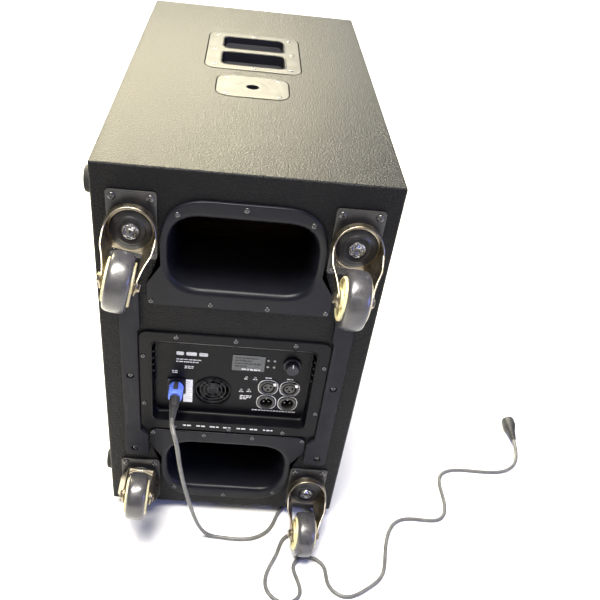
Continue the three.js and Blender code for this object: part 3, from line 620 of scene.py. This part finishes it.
def front_grille():
    """A bowed sheet of punched steel with folded sides, foam behind it and screws."""
    half, low, high = CAB_W / 2 - PLY - 2, PLY + 3, CAB_H - PLY - 3
    rim, bow, t, pitch, margin, open_share = 713, 7, 1.5, 9, 12, 0.74
    across = pitch / math.sqrt(3)

    def on_sheet(x, z, out=0.0):
        x = min(max(x, -half), half)
        z = min(max(z, low), high)
        return Vector((x, rim + bow * (1 - (x / half) ** 2) + out, z))

    sheet = Form(CABINET)
    rows = int((high - low) / (1.5 * across)) + 2
    columns = int(2 * half / pitch) + 2
    for row in range(-1, rows):
        z = low + 1.5 * across * row
        for column in range(-1, columns):
            x = -half + pitch * (column + 0.5 * (row % 2))
            turns = [math.pi / 6 + math.pi / 3 * k for k in range(6)]
            cell = [(x + across * math.cos(a), z + across * math.sin(a)) for a in turns]
            edge = [on_sheet(*p) for p in cell]
            if any(max(p[i] for p in edge) - min(p[i] for p in edge) < 0.01 for i in (0, 2)):
                continue
            if abs(x) < half - margin and low + margin < z < high - margin:
                hole = [on_sheet(x + open_share * (px - x), z + open_share * (pz - z)) for px, pz in cell]
                faces = [[k, (k + 1) % 6, 6 + (k + 1) % 6, 6 + k] for k in range(6)]
                sheet.add(edge + hole, faces)
            else:
                sheet.add(edge, [list(range(6))])
    face = piece("grille_sheet", sheet, "black_steel", replaces=["front_grille"])
    thick = face.modifiers.new("thickness", "SOLIDIFY")
    thick.thickness = t * MM
    thick.offset = -1
    face.modifiers.move(len(face.modifiers) - 1, 0)

    folds = Form(CABINET)
    for side in (-1, 1):
        folds.block(*sorted((side * half, side * (half - 2))), 705.5, rim - 0.2, low, high, 0.6)
    piece("grille_folds", folds, "black_steel")
    foam = Form(CABINET)
    xs = [-half + 4 + (2 * half - 8) * i / 24 for i in range(25)]
    outer = [on_sheet(x, 0, -2.2) for x in xs]
    inner = [on_sheet(x, 0, -5.5) for x in reversed(xs)]
    foam.loft([at_height(outer + inner, z) for z in (low + 4, low + 5, high - 5, high - 4)])
    piece("grille_foam", foam, "cone")
    heights = (low + 30, CAB_H / 2, high - 30)
    spots = [(x, z, rim + 0.4) for x in (-half + 6, half - 6) for z in heights]
    front = REAR @ Matrix.Rotation(math.pi, 4, "Y")
    screws("grille_screws", front, spots, rise=1.6, r=3.6)


def port_ring(side, z, flat, way, per_corner=12):
    """Mirrors a port's half outline [half width, distance from the flat edge, radius]."""
    right = [(x, flat + way * d, r) for x, d, r in side]
    left = [(-x, y, r) for x, y, r in reversed(right)]
    return rounded(right + left, z, per_corner)


FLANGE_SIDE = [(PORT_HALF, 0, 13), (PORT_HALF, 34, 12), (106, 62, 12), (106, PORT_H, 62)]


def flange_side(inset):
    ends = (1, 0, 0, -1)
    return [(x - inset, d + e * inset, r) for (x, d, r), e in zip(FLANGE_SIDE, ends)]


def mouth_side(grow):
    half, low, high, r = MOUTH.values()
    middle = (low + high) / 2
    x = half + grow
    bends = [(low - grow, r + grow), (middle - 2, 1), (middle + 2, 1), (high + grow, r + grow)]
    return [(x, d, corner) for d, corner in bends]


def ports():
    for level, (flat, way) in PORTS.items():
        face = [(0, CLEAR), (0, 2.9), (0.35, 3.9), (1.4, 4.4)]
        rings = [port_ring(flange_side(i), z, flat, way) for i, z in face]
        for i in range(8):
            a = math.pi / 2 * i / 7
            grow = 9.5 * (1 - math.sin(a))
            rings.append(port_ring(mouth_side(grow), 4.4 - 8.5 * (1 - math.cos(a)), flat, way))
        for grow, z in [(-1.6, -14), (-2.6, -24), (-3, -40), (-3, -80), (-3, -PORT_DEPTH + 2),
                        (-2, -PORT_DEPTH), (-0.2, -PORT_DEPTH + 1), (-0.2, -40), (0.4, -22), (3.4, 0.3)]:
            rings.append(port_ring(mouth_side(grow), z, flat, way))
        form = Form(REAR).loft(rings, loop=True)
        piece(f"{level}_port_duct", form, "moulding", replaces=[f"{level}_port"], smooth_angle=50)
        spots = [(38.5, 6), (118, 6), (0, PORT_H - 7), (84, PORT_H - 20)]
        spots = [(s * x, flat + way * d, 4.2) for x, d in spots for s in ((-1, 1) if x else (1,))]
        screws(f"{level}_port_screws", REAR, spots, r=3.6, rise=1.9)


def skids():
    low, beside, high = SKID["inner"]
    outer, z0, z1, t = [SKID[k] for k in ("outer", "z0", "z1", "t")]
    for side, sign in (("left", -1), ("right", 1)):
        corners = [
            (low, z0, 6), (outer, z0, 10), (outer, z1, 10), (high, z1, 6), (high, TRAY["z1"] + 7, 1.5),
            (beside, TRAY["z1"] + 2, 1.5), (beside, TRAY["z0"] - 3, 1.5), (low, TRAY["z0"] - 15, 1.5),
        ]
        spots = [(sign * 147.5, 136.5), (sign * 150, 290), (sign * 148, 463)]
        outline = rounded([(sign * x, z, r) for x, z, r in corners])
        wells = [circle(5.2, 0, 32, at) for at in spots]
        strip = Form(REAR).plate([outline, *wells], CLEAR, t, 1.3)
        for at in spots:
            strip.lathe([(5.6, 0.3), (5.6, 3.2)], 32, at=at)
        piece(f"{side}_rub_strip", strip, "rub_strip", replaces=[f"{side}_skid"])
        screws(f"{side}_rub_strip_screws", REAR, [(x, z, 3.1) for x, z in spots], r=4.3, rise=2.4)


# ------------------ feet
def foot(name, place, height, node):
    """A rubber foot with a recess for its washer and screw; z runs out of the cabinet."""
    form = Form(place)
    form.lathe([
        (4.6, 0.3), (18.4, 0.3), (19, 1.2), (18.6, 3), (16.8, height - 2.4), (16, height - 0.7),
        (14.6, height), (10, height), (9.2, height - 0.8), (8.8, height - 5.5), (4.6, height - 5.5),
    ], 48, loop=True)
    piece(name, form, "foot_rubber", replaces=[node])
    washer = [(3, 0.3), (8.6, height - 5.4), (8.6, height - 4.4), (3, height - 4.4)]
    metal = Form(place).lathe(washer, 40)
    screw_head(metal, 0, 0, height - 4.4, r=4.6, rise=2.6)
    piece(f"{name}_screw", metal, "bright_steel")


def feet():
    for end, y in (("rear", 50), ("front", CAB_D - 50)):
        for side, x in (("left", -144), ("right", 144)):
            place = CABINET @ Matrix.Translation((x, y, 0)) @ Matrix.Rotation(math.pi, 4, "X")
            foot(f"floor_foot_{end}_{side}", place, FOOT_H, f"bottom_foot_{end}_{side}")
        for level, z in (("lower", 46), ("upper", CAB_H - 46)):
            place = CABINET @ Matrix.Translation((-CAB_W / 2, y, z))
            place = place @ Matrix.Rotation(-math.pi / 2, 4, "Y")
            foot(f"flank_foot_{end}_{level}", place, 14, f"side_foot_{end}_{level}")


# ------------------ top fittings
def plate_gap_shadow(half, y, l, r):
    """A flat black ring painted as the shadow in the groove round three sides of a top plate."""
    wide = rectangle(-half - GAP, half + GAP, y - l / 2 + GAP, y + l / 2 + GAP, r + GAP)
    hole = rectangle(-half + 2, half - 2, y - l / 2 + 3, y + l / 2 - 2, r)
    return Form(TOP).plate([wide, hole], -0.2, GAP_RISE, 0.1)


def handle():
    y, half, l, r, slot, bar, reach, t = HANDLE.values()
    outline = rectangle(-half, half, y - l / 2, y + l / 2, r)
    sides = [(y - reach, y - bar), (y + bar, y + reach)]
    openings = [rectangle(-slot, slot, *side, 12) for side in sides]
    form = Form(TOP).plate([outline, *openings], CLEAR, t, 0.3)
    lip = [(-2.6, 1.2), (-2.4, t), (-1.2, t + 0.5), (0, t - 0.2), (0.7, -1.4), (0.9, -14), (-2.6, -14)]
    for low, high in sides:
        form.loft([
            rectangle(-slot + i, slot - i, low + i, high - i, 12 - i, z) for i, z in lip
        ], loop=True)
    piece("grip_plate", form, "top_plate", replaces=["top_handle"])
    # a black ring painted as the shadow round the grip plate
    piece("grip_gap_shadow", plate_gap_shadow(half, y, l, r), "seal_and_gap_shadow")

    rail = Form(TOP)
    arc = [(bar - 1.2, -0.6), (bar - 0.2, -4), (bar - 0.6, -9), (bar - 3.5, -13), (0, -14.6)]
    arc += [(-a, b) for a, b in reversed(arc[:-1])]
    rail.loft([[Vector((x, y + a, b)) for a, b in arc] for x in (-slot - 4, -30, 0, 30, slot + 4)])
    piece("grip_rail", rail, "moulding")

    cup = Form(TOP)
    steps = [(0, -3), (0.4, -10), (2.5, -38), (6, -43.5), (12, -46)]
    inner = [rectangle(-61 + i, 61 - i, y - 79 + i, y + 79 - i, 12, z + 2.5) for i, z in steps]
    outer = [rectangle(-64 + i, 64 - i, y - 82 + i, y + 82 - i, 14, z) for i, z in reversed(steps)]
    cup.loft(inner + [at_height(inner[-1], -46)] + outer[1:], loop=True)
    cup.loft([rectangle(-53, 53, y - 71, y + 71, 10, z) for z in (-46, -43.6)])
    slope = [(24, -44), (80, -44), (80, -4), (76, -5.5), (50, -23), (28, -38), (24, -40)]
    cup.loft([[Vector((x, y + dy, z)) for dy, z in slope] for x in (-61.5, -30, 0, 30, 61.5)])
    piece("grip_cup", cup, "moulding")
    spots = [(-60.5, y - 76), (60.5, y - 76), (0, y - 83), (0, y + 83)]
    spots += [(-60.5, y + 76), (60.5, y + 76), (-64, y), (64, y)]
    screws("grip_screws", TOP, [(x, at, t - 0.4) for x, at in spots], r=3.9, rise=1.2)


def pole_socket():
    y, half, l, r, bore, t = POLE.values()
    outline = rectangle(-half, half, y - l / 2, y + l / 2, r)
    form = Form(TOP).plate([outline, circle(22.5, 0, 64, (0, y))], CLEAR, t, 0.3)
    form.lathe([
        (22.8, 0.4), (22.8, t - 0.3), (22.2, t), (bore + 2, t), (bore + 0.6, t - 0.3),
        (bore, t - 1.2), (bore, -58), (bore + 2.4, -60), (20, -60), (20, 0.4),
    ], 64, loop=True, at=(0, y))
    form.lathe([(1, -60), (bore + 1, -60), (bore + 1, -57), (1, -57)], 48, at=(0, y))
    piece("pole_cup", form, "top_plate", replaces=["pole_socket"])
    # a black ring painted as the shadow round the pole plate
    piece("pole_cup_gap_shadow", plate_gap_shadow(half, y, l, r), "seal_and_gap_shadow")
    spots = [(s * 39, y + w * 33, t - 0.4) for s in (-1, 1) for w in (-1, 1)]
    screws("pole_cup_screws", TOP, spots, r=3.6, rise=1.0)


# ------------------ amplifier tray
FLOOR = -RECESS["depth"]
GLASS_FACE = -15.15
ON_FLOOR = REAR @ Matrix.Translation((0, 0, FLOOR))


def display_edge(inset, r, level=0.0):
    x, z, w, h = LCD.values()
    return rectangle(
        x - w / 2 + inset, x + w / 2 - inset, z - h / 2 + inset, z + h / 2 - inset, r, level
    )


def tray():
    half, z0, z1 = RECESS["half"], RECESS["z0"], RECESS["z1"]
    outline = rectangle(-TRAY["half"], TRAY["half"], TRAY["z0"], TRAY["z1"], 14)
    opening = rectangle(-half - 2, half + 2, z0 - 2, z1 + 2, 12)
    form = Form(REAR).plate([outline, opening], CLEAR, TRAY["t"], 0.9)

    def ring(inset, z):
        return rectangle(-half + inset, half - inset, z0 + inset, z1 - inset, max(10 - inset, 2), z, 10)

    wall = [
        (-3.4, 0.6), (-3.2, 3.2), (-2.4, 4.3), (-1.2, 4.6), (-0.3, 3.9), (0, 2.4), (0.4, -10),
        (1.3, -13.4), (2.6, -15.2), (4.4, FLOOR), (4.4, -19), (-3, -19),
    ]
    form.loft([ring(*w) for w in wall], loop=True)
    sockets = [(INLET["x"], INLET["z"])] + [(x, z) for x in XLR_X for z in XLR_Z.values()]
    holes = [
        display_edge(0, 2.2), circle(FAN["r"], 0, 72, (FAN["x"], FAN["z"])),
        circle(4.5, 0, 32, (KNOB["x"], KNOB["z"])), *[circle(12.3, 0, 40, at) for at in sockets],
    ]
    form.plate([ring(3, 0), *holes], -19, FLOOR, 0.35)
    for sign in (-1, 1):
        for i in range(4):
            x, z = sign * (half - 1.2), 298 + 12 * i
            form.block(x - 2, x + 2, z - 2, z + 2, FLOOR + 0.2, 1.2, 0.8)
    form.hoop(FAN["r"] + 1.2, 1.5, FLOOR + 0.3, (FAN["x"], FAN["z"]))
    piece("tray_pan", form, "amp_panel", replaces=["amp_tray"])
    spots = [(-84, 364.5), (0, 364.5), (85, 364.5), (-131, 327), (131, 327)]
    spots += [(-131, 235), (131, 235), (-85, 189), (85, 189), (0, 189)]
    screws("tray_screws", REAR, [(x, z, TRAY["t"] - 0.1) for x, z in spots], r=3.5, rise=1.8)


def greeked(form, x0, x1, z, height, seed, level=FLOOR):
    """A line of print shown only as short bars, with no letters in it."""
    draw = random.Random(seed)
    x = x0
    while x < x1 - height:
        end = min(x + height * draw.uniform(1.2, 3.4), x1)
        bar = rectangle(x, end, z - height / 2, z + height / 2, height * 0.3, 0, 4)
        form.loft([at_height(bar, level - 0.1), at_height(bar, level + 0.12)])
        x = end + height * 0.55


# Lines of print on the tray floor: left end, right end, height up the panel, size, seed.
PANEL_LINES = [
    (-85, -37, 320.6, 6.4, 3), (-85, -46, 309.5, 1.8, 5), (-85, -52, 305, 1.8, 8),
    (-72.5, -58.7, 296.6, 1.7, 11), (-72.5, -60, 293.4, 1.7, 12), (-91, -82, 286.4, 1.7, 13),
    (-91, -83, 283, 1.7, 14), (13.4, 32.5, 245.4, 1.7, 15), (13.4, 30, 242.2, 1.7, 16),
    (13.4, 26, 239, 1.7, 17), (34, 102, 217.2, 1.8, 18),
]


def print_on_panel():
    ink = Form(REAR)
    for row in PANEL_LINES:
        greeked(ink, *row)
    for x, z in ((20.9, 279.7), (34.1, 279.8), (14.6, 253.7), (26.2, 254.7)):
        greeked(ink, x - 3.4, x + 3.4, z, 1.5, int(x))
        ink.hoop(1.5, 0.3, FLOOR, (x, z + 3.6), 24)
    for x in XLR_X:
        greeked(ink, x - 6, x + 6, 284.5, 1.7, int(x) + 40)
        for z in XLR_Z.values():
            outline = rectangle(x - 15.5, x + 15.5, z - 15, z + 15, 15)
            inner = rectangle(x - 14.4, x + 14.4, z - 13.9, z + 13.9, 14)
            ink.plate([outline, inner], FLOOR - 0.1, FLOOR + 0.12, 0.05)
    for i in range(7):
        x = -72 + 21 * i
        greeked(ink, x, x + 15, 192.5, 2.6, 60 + i, TRAY["t"])
    piece("panel_print", ink, "print_white")

    label = Form(REAR).block(-73.6, -59.6, 224.5, 270.5, FLOOR - 0.1, FLOOR + 0.25, 0.1)
    piece("panel_label", label, "label")
    lines = Form(REAR)
    for i in range(9):
        greeked(lines, -71.6, -62.5 + 1.2 * (i % 3), 266 - 4.2 * i, 1.0, 80 + i, FLOOR + 0.24)
    piece("panel_label_lines", lines, "label_ink")

    lamps = Form(ON_FLOOR)
    for x in (50.6, 60):
        for z in (318.5, 306.2):
            lamps.lathe([(1.9, -0.2), (1.9, 0.5), (1.3, 1.1), (0.4, 1.3)], 20, at=(x, z))
    piece("panel_lamps", lamps, "lamp")


def display():
    x, z = LCD["x"], LCD["z"]
    steps = [(0.3, -18), (0.3, -15.5), (0.6, -15.25), (1.2, GLASS_FACE)]
    glass = Form(REAR).loft([display_edge(inset, 2, level) for inset, level in steps])
    piece("display_glass", glass, "display", replaces=["display_window"])
    bars = Form(REAR)
    for i, end in enumerate((14, 4, 18, -2)):
        greeked(bars, x - 20, x + end, z + 9.6 - 5.2 * i, 2.0, 100 + i, GLASS_FACE)
    piece("display_bars", bars, "knob_plastic")
    lit = Form(REAR)
    greeked(lit, x - 10, x + 18, z - 11.4, 2.4, 140, GLASS_FACE)
    piece("display_lit_bars", lit, "print_white")


def knob():
    x, z, r = KNOB.values()
    at = REAR @ Matrix.Translation((x, z, 0))
    form = Form(at)
    skirt = [(3.4, -14.5), (r, -14.5), (r, -13.4), (r - 0.7, -12.2), (r - 2.6, -11.5), (3.4, -11.5)]
    form.lathe(skirt, 64, loop=True)
    grip = [(10.2, -11.8), (10.6, -11), (10.1, -4.2), (9.7, -2.9)]
    wavy = [circle(k, h, 144, lobes=24, depth=0.055) for k, h in grip]
    top = [circle(k, h, 144) for k, h in [(8.9, -2.1), (7.6, -2), (6.4, -2.5), (0.4, -2.6)]]
    bore = [circle(3.3, h, 144) for h in (-6, -11.8)]
    form.loft(bore + wavy + top, caps=(False, True))
    form.loft([circle(3.3, -6, 48), circle(0.4, -6, 48)], caps=(False, True))
    piece("level_knob", form, "knob_plastic", "knob", ["control_knob"], smooth_angle=50)
    mark = Form(at).block(-0.6, 0.6, 4.6, 10.4, -3.4, -1.85, 0.2)
    piece("level_knob_mark", mark, "print_white", "knob")


def xlr_sockets():
    pins = [(-4.2, 1.5), (4.2, 1.5), (0, -4.2)]
    lip = [(13.4, 0.3), (14, 0.8), (13.7, 1.9), (12.8, 2.4)]
    for x, tag in zip(XLR_X, "ab"):
        at = ON_FLOOR @ Matrix.Translation((x, XLR_Z["input"], 0))
        form = Form(at)
        form.lathe([(10.2, 0.3), *lip, (11, 2.4), (10.2, 1.6), (10, -17), (12, -17), (12, 0)], 56, loop=True)
        form.plate([circle(8.3, 0, 48), *[circle(1.7, 0, 16, p) for p in pins]], -16, 1.4, 0.4)
        form.lathe([(11, -18), (11, -16)], 40)
        piece(f"input_socket_{tag}", form, "black_steel", replaces=[f"xlr_input_{tag}"])
        latch = Form(at)
        latch.block(6.6, 12.4, 6.8, 12.6, 2.6, 5, 0.8)
        latch.block(7, 8.5, 7, 8.4, -7, 3, 0.3)
        piece(f"input_latch_{tag}", latch, "bright_steel", f"latch_{tag}", [f"xlr_latch_{tag}"])

        at = ON_FLOOR @ Matrix.Translation((x, XLR_Z["output"], 0))
        form = Form(at)
        form.lathe([(9.6, 1.7), (9.6, -15), (12, -15), (12, 0), *lip, (10.6, 2.4)], 56, loop=True)
        form.lathe([(10, -17), (10, -15)], 40)
        piece(f"output_socket_{tag}", form, "black_steel", replaces=[f"xlr_output_{tag}"])
        prongs = Form(at)
        for px, pz in pins:
            prongs.lathe([(1.25, -16), (1.25, -4), (0.9, -3), (0.3, -2.7)], 16, at=(px, -pz))
        piece(f"output_pins_{tag}", prongs, "bright_steel")


def power_inlet():
    at = ON_FLOOR @ Matrix.Translation((INLET["x"], INLET["z"], 0))
    form = Form(at)
    form.plate([rectangle(-14, 14, -15.5, 15.5, 3.5), circle(10.2, 0, 48)], 0.2, 2.4, 0.6)
    form.lathe([(10.1, 1), (10.1, -20), (1, -20), (1, -24), (12, -24), (12, 0.4)], 48, loop=True)
    piece("power_socket", form, "moulding", replaces=["power_inlet"])
    screws("power_socket_screws", at, [(11.4, -12.9, 2.3), (-11.4, 12.9, 2.3)], r=2, rise=0.9)


def fan():
    x, z = FAN["x"], FAN["z"]
    at = REAR @ Matrix.Translation((x, z, 0))
    rotor = Form(at).lathe([(9.5, -32), (9.5, -24.2), (8.8, -23.3), (6, -23), (0.5, -22.9)], 40)
    blades, root, span = 7, 8.6, 15.2
    for i in range(blades):
        blade = []
        for k in range(6):
            r = root + span * k / 5
            a = 2 * math.pi * i / blades + 0.05 * k
            lift = 3.0 - 0.35 * k
            across = [(-0.42 - 0.02 * k, -lift), (0, 0.6), (0.42 + 0.02 * k, lift)]
            arc = 10.5 / r
            top = [
                Vector((r * math.cos(a + s * arc), r * math.sin(a + s * arc), h - 27)) for s, h in across
            ]
            blade.append(top + [p - Vector((0, 0, 1)) for p in reversed(top)])
        rotor.loft(blade)
    piece("fan_wheel", rotor, "knob_plastic", "fan", ["fan_rotor"])
    guard = Form(at)
    for r in (7.5, 13.5, 19.5, 25.5):
        guard.hoop(r, 0.75, FLOOR - 3.4, sides=64)
    for i in range(4):
        a = math.pi / 4 + i * math.pi / 2
        ends = [Vector((r * math.cos(a), r * math.sin(a), FLOOR - 4.2)) for r in (6.8, 15, 27.6)]
        guard.wire(ends, 0.8)
    piece("fan_guard", guard, "black_steel")


# ------------------ casters
def fork_line(inset):
    """Points round the fork's wall: up one leg, over the crown and down the other."""
    half = FORK_HALF - inset
    r = FORK_R - inset
    tip = TRAIL + 12.5
    leg = [(half, -tip + 14 * (1 - math.cos(math.pi / 2 * i / 9)) + 0.05) for i in range(10)]
    leg.append((half, -31))
    shoulder = [(half + 0.8, -27), (half + 2.6, -21.5), (half + 5.6, -15.5)]
    right = leg + shoulder
    past = 0.26                        # the crown's arc runs past a half circle by this angle
    turn = [-past + (math.pi + 2 * past) * i / 36 for i in range(37)]
    arc = [(r * math.cos(a), r * math.sin(a)) for a in turn]
    return right + arc + [(-x, y) for x, y in reversed(right)]


def fork_low(y):
    """Height of the wall's lower edge at y; it drops away to a tapered leg."""
    if y > -31:
        return 10
    if y > -37:
        return 10 + (-31 - y) / 6 * 20
    return 30 + (-37 - y) / 13.3 * 40.7


def fork_high(y):
    """Height of the wall's upper edge at y, rounded about the axle at the leg's tip."""
    if y > 24:
        return 21 - (y - 24) / 11 * 2
    if y > 4:
        return 30 - (y - 4) / 20 * 9
    if y > -27.3:
        return 30 + (4 - y) / 31.3 * 49.5
    return REACH + math.sqrt(max(12.5 ** 2 - (y + TRAIL) ** 2, 0))


def fork(tag, at):
    rings = []
    for outer, inner in zip(fork_line(0), fork_line(SHEET)):
        low = fork_low(outer[1])
        high = max(fork_high(outer[1]), low + 0.8)
        r = min(SHEET / 2, (high - low) / 2)
        ring = []
        for k in range(9):
            a = math.pi * k / 8
            share = (1 - math.cos(a)) / 2
            x, y = [outer[i] + (inner[i] - outer[i]) * share for i in (0, 1)]
            ring.append(Vector((x, y, high - r + r * math.sin(a))))
        rings.append(ring + [Vector((*p, low)) for p in (inner, outer)])
    shell = Form(at).loft(rings)
    floor = [Vector((x, y, 0)) for x, y in fork_line(1.2) if y >= -31]
    shell.plate([floor, circle(7.5, 0, 32)], 10, 12.5, 0.3)
    for side in (-1, 1):
        boss = Matrix.Translation((side * (FORK_HALF - 0.4), -TRAIL, REACH))
        boss = boss @ Matrix.Rotation(side * math.pi / 2, 4, "Y")
        shell.lathe([(9.6, 0), (9.2, 0.9), (8.4, 1.1), (4.3, 1.1), (4.3, 0)], 40, m=boss)
    piece(f"fork_{tag}", shell, "zinc_steel", f"swivel_{tag}", [f"caster_fork_{tag}"], smooth_angle=50)

    race = Form(at).lathe([(24, 12.3), (30.2, 12.3), (29.8, 13.4), (28.2, 14), (24, 13.6)], 72, loop=True)
    piece(f"swivel_race_{tag}", race, "zinc_steel", f"swivel_{tag}")
    seal_and_gap_shadow = Form(at).lathe([
        (11, 12.6), (26.6, 12.6), (26.8, 13.6), (26, 15), (22.5, 16.1), (19.4, 16.5), (18.2, 17.6),
        (16.6, 18.1), (15, 17.6), (13.8, 16.8), (11, 16.8),
    ], 72, loop=True)
    piece(f"swivel_seal_{tag}", seal_and_gap_shadow, "black_steel", f"swivel_{tag}")


def caster(tag):
    level, side = tag.split("_")
    x = KINGPIN_X * (1 if side == "right" else -1)
    mount = REAR @ Matrix.Translation((x, KINGPIN_Z[level], 0))
    spots = [(s * 23.2, w * 38) for s in (-1, 1) for w in (-1, 1)]
    outline = rectangle(-31, 31, -46, 46, 5)
    plate = Form(mount).plate([outline, *[circle(3.2, 0, 20, p) for p in spots]], CLEAR, CLEAR + 3, 0.9)
    plate.lathe([(27, 3.2), (26.6, 4.6), (24.4, 5.8), (23.8, 7.6), (21.2, 9.2), (6, 9.2)], 64)
    piece(f"caster_base_{tag}", plate, "black_steel", replaces=[f"caster_plate_{tag}"])
    screws(f"caster_screws_{tag}", mount, [(*p, 3.2) for p in spots], r=5, rise=3)
    rivet = Form(mount)
    rivet.lathe([(5.8, 9), (5.8, 16), (10.6, 16.4), (10.8, 17.6), (10.2, 18.8), (9.2, 19.2)], 48)
    crown = [(9.3, 19), (8.9, 20.2), (7.6, 20.8), (5, 20.2), (2.6, 18.9), (0.6, 18.6)]
    rivet.loft([circle(r, z, 64, lobes=4, depth=0.30) for r, z in crown], Matrix.Rotation(0.5, 4, "Z"))
    piece(f"kingpin_{tag}", rivet, "bright_steel", smooth_angle=40)

    turned = mount @ Matrix.Rotation(math.radians(SWIVEL[tag]), 4, "Z")
    fork(tag, turned)
    hub_at = turned @ Matrix.Translation((0, -TRAIL, REACH)) @ Matrix.Rotation(math.pi / 2, 4, "Y")
    axle = Form(hub_at).lathe([(3.9, -24.5), (4, -23), (4, 25), (3.2, 26)], 24)
    for way in (-1, 1):
        flip = Matrix.Rotation(0 if way > 0 else math.pi, 4, "X")
        axle.lathe([(8.4, 21.9), (8.4, 22.6), (4, 22.6)], 32, m=flip)
        nut = [(1, 22.4), (1, 25.3), (0.9, 26), (0.66, 26)]
        axle.loft([circle(6.5 * k, h, 6) for k, h in nut], flip)
    piece(f"axle_{tag}", axle, "zinc_steel", f"swivel_{tag}", [f"caster_axle_{tag}"], smooth_angle=25)

    right = [(37.5, 0), (37.45, 4), (37, 8.2), (36, 11.4), (34.4, 13.4)]
    right += [(32, 14.3), (29.6, 14.5), (27.4, 14.2)]
    profile = [(r, -h) for r, h in reversed(right)] + right[1:]
    tyre = Form(hub_at).lathe(profile, 96, loop=True)
    piece(f"tyre_{tag}", tyre, "wheel_tread", f"wheel_{tag}", [f"caster_wheel_{tag}"], smooth_angle=50)
    edge = [(27.5, 14), (27.3, 16.2), (26.2, 17), (24.2, 16.8), (23.2, 14), (20, 12)]
    edge += [(12.4, 12), (11, 14.4), (10.4, 17.6), (9.4, 18), (4.5, 18)]
    hub = Form(hub_at).lathe([(r, -h) for r, h in reversed(edge)] + edge, 72, loop=True)
    for i in range(6):
        turn = Matrix.Rotation(math.pi / 3 * i, 4, "Z")
        for z0, z1 in ((11, 15.6), (-15.6, -11)):
            hub.block(10, 24, -1.4, 1.4, z0, z1, 0.5, turn)
    piece(f"wheel_hub_{tag}", hub, "wheel_hub", f"wheel_{tag}")


# ------------------ what keeps its CAD shape
def carried_over():
    for row in frame["record"]["subparts"]:
        materials = frame["nodes"][row["node"]].data.materials
        materials.clear()
        materials.append(LOOKS[row["material_slot"]])


# ------------------ studio
def lamp(name, at, aim, size, power, colour=(1, 1, 1)):
    data = bpy.data.lights.new(name, "AREA")
    data.shape = "RECTANGLE"
    data.size, data.size_y = size
    data.energy = power
    data.color = colour
    obj = placed(name, data)
    obj.location = at
    obj.rotation_euler = (Vector(aim) - Vector(at)).to_track_quat("-Z", "Y").to_euler()


def studio():
    world = bpy.data.worlds.new("studio")
    bpy.context.scene.world = world
    world.use_nodes = True
    sky = world.node_tree.nodes["Background"].inputs
    sky["Color"].default_value = (1, 1, 1, 1)
    sky["Strength"].default_value = 0.07
    bpy.context.scene.view_settings.view_transform = "Standard"

    mesh = bpy.data.meshes.new("floor")
    size = 12
    corners = [(-size, -size, 0), (size, -size, 0), (size, size, 0), (-size, size, 0)]
    mesh.from_pydata(corners, [], [(0, 1, 2, 3)])
    floor = placed("floor", mesh)
    paper = Look("floor_paper", (0.86, 0.86, 0.86), 0.9, specular=0.1)
    paper.mottle(0.6, (0.85, 0.85, 0.85))
    mesh.materials.append(paper.material)

    lamp("sweep", (-1.0, 2.55, 2.3), (0, 0.05, 0.62), (2.5, 1.1), 58, (1.0, 0.90, 0.57))
    lamp("near_sheen", (-0.5, 1.1, 1.42), (0, -0.3, 0.62), (1.5, 0.3), 84, (1.0, 0.90, 0.60))
    lamp("backdrop", (0, 4.2, 3.0), (0, 3.6, 0), (5.0, 2.0), 280)
    lamp("ceiling", (-0.3, -0.75, 2.7), (0, -0.5, 0), (1.1, 1.6), 190, (1.0, 0.97, 0.90))
    lamp("front", (-0.1, -1.9, 2.2), (0, -0.3, 0.3), (2.2, 0.3), 6)
    lamp("side", (2.4, -1.5, 1.2), (0, -0.3, 0.3), (0.9, 0.9), 34, (0.26, 0.32, 1.0))


# ------------------ assembly
make_looks()
camera()
power_lead()
cabinet_shell()
front_grille()
ports()
skids()
feet()
handle()
pole_socket()
tray()
print_on_panel()
display()
knob()
xlr_sockets()
power_inlet()
fan()
for tag in SWIVEL:
    caster(tag)
carried_over()
studio()
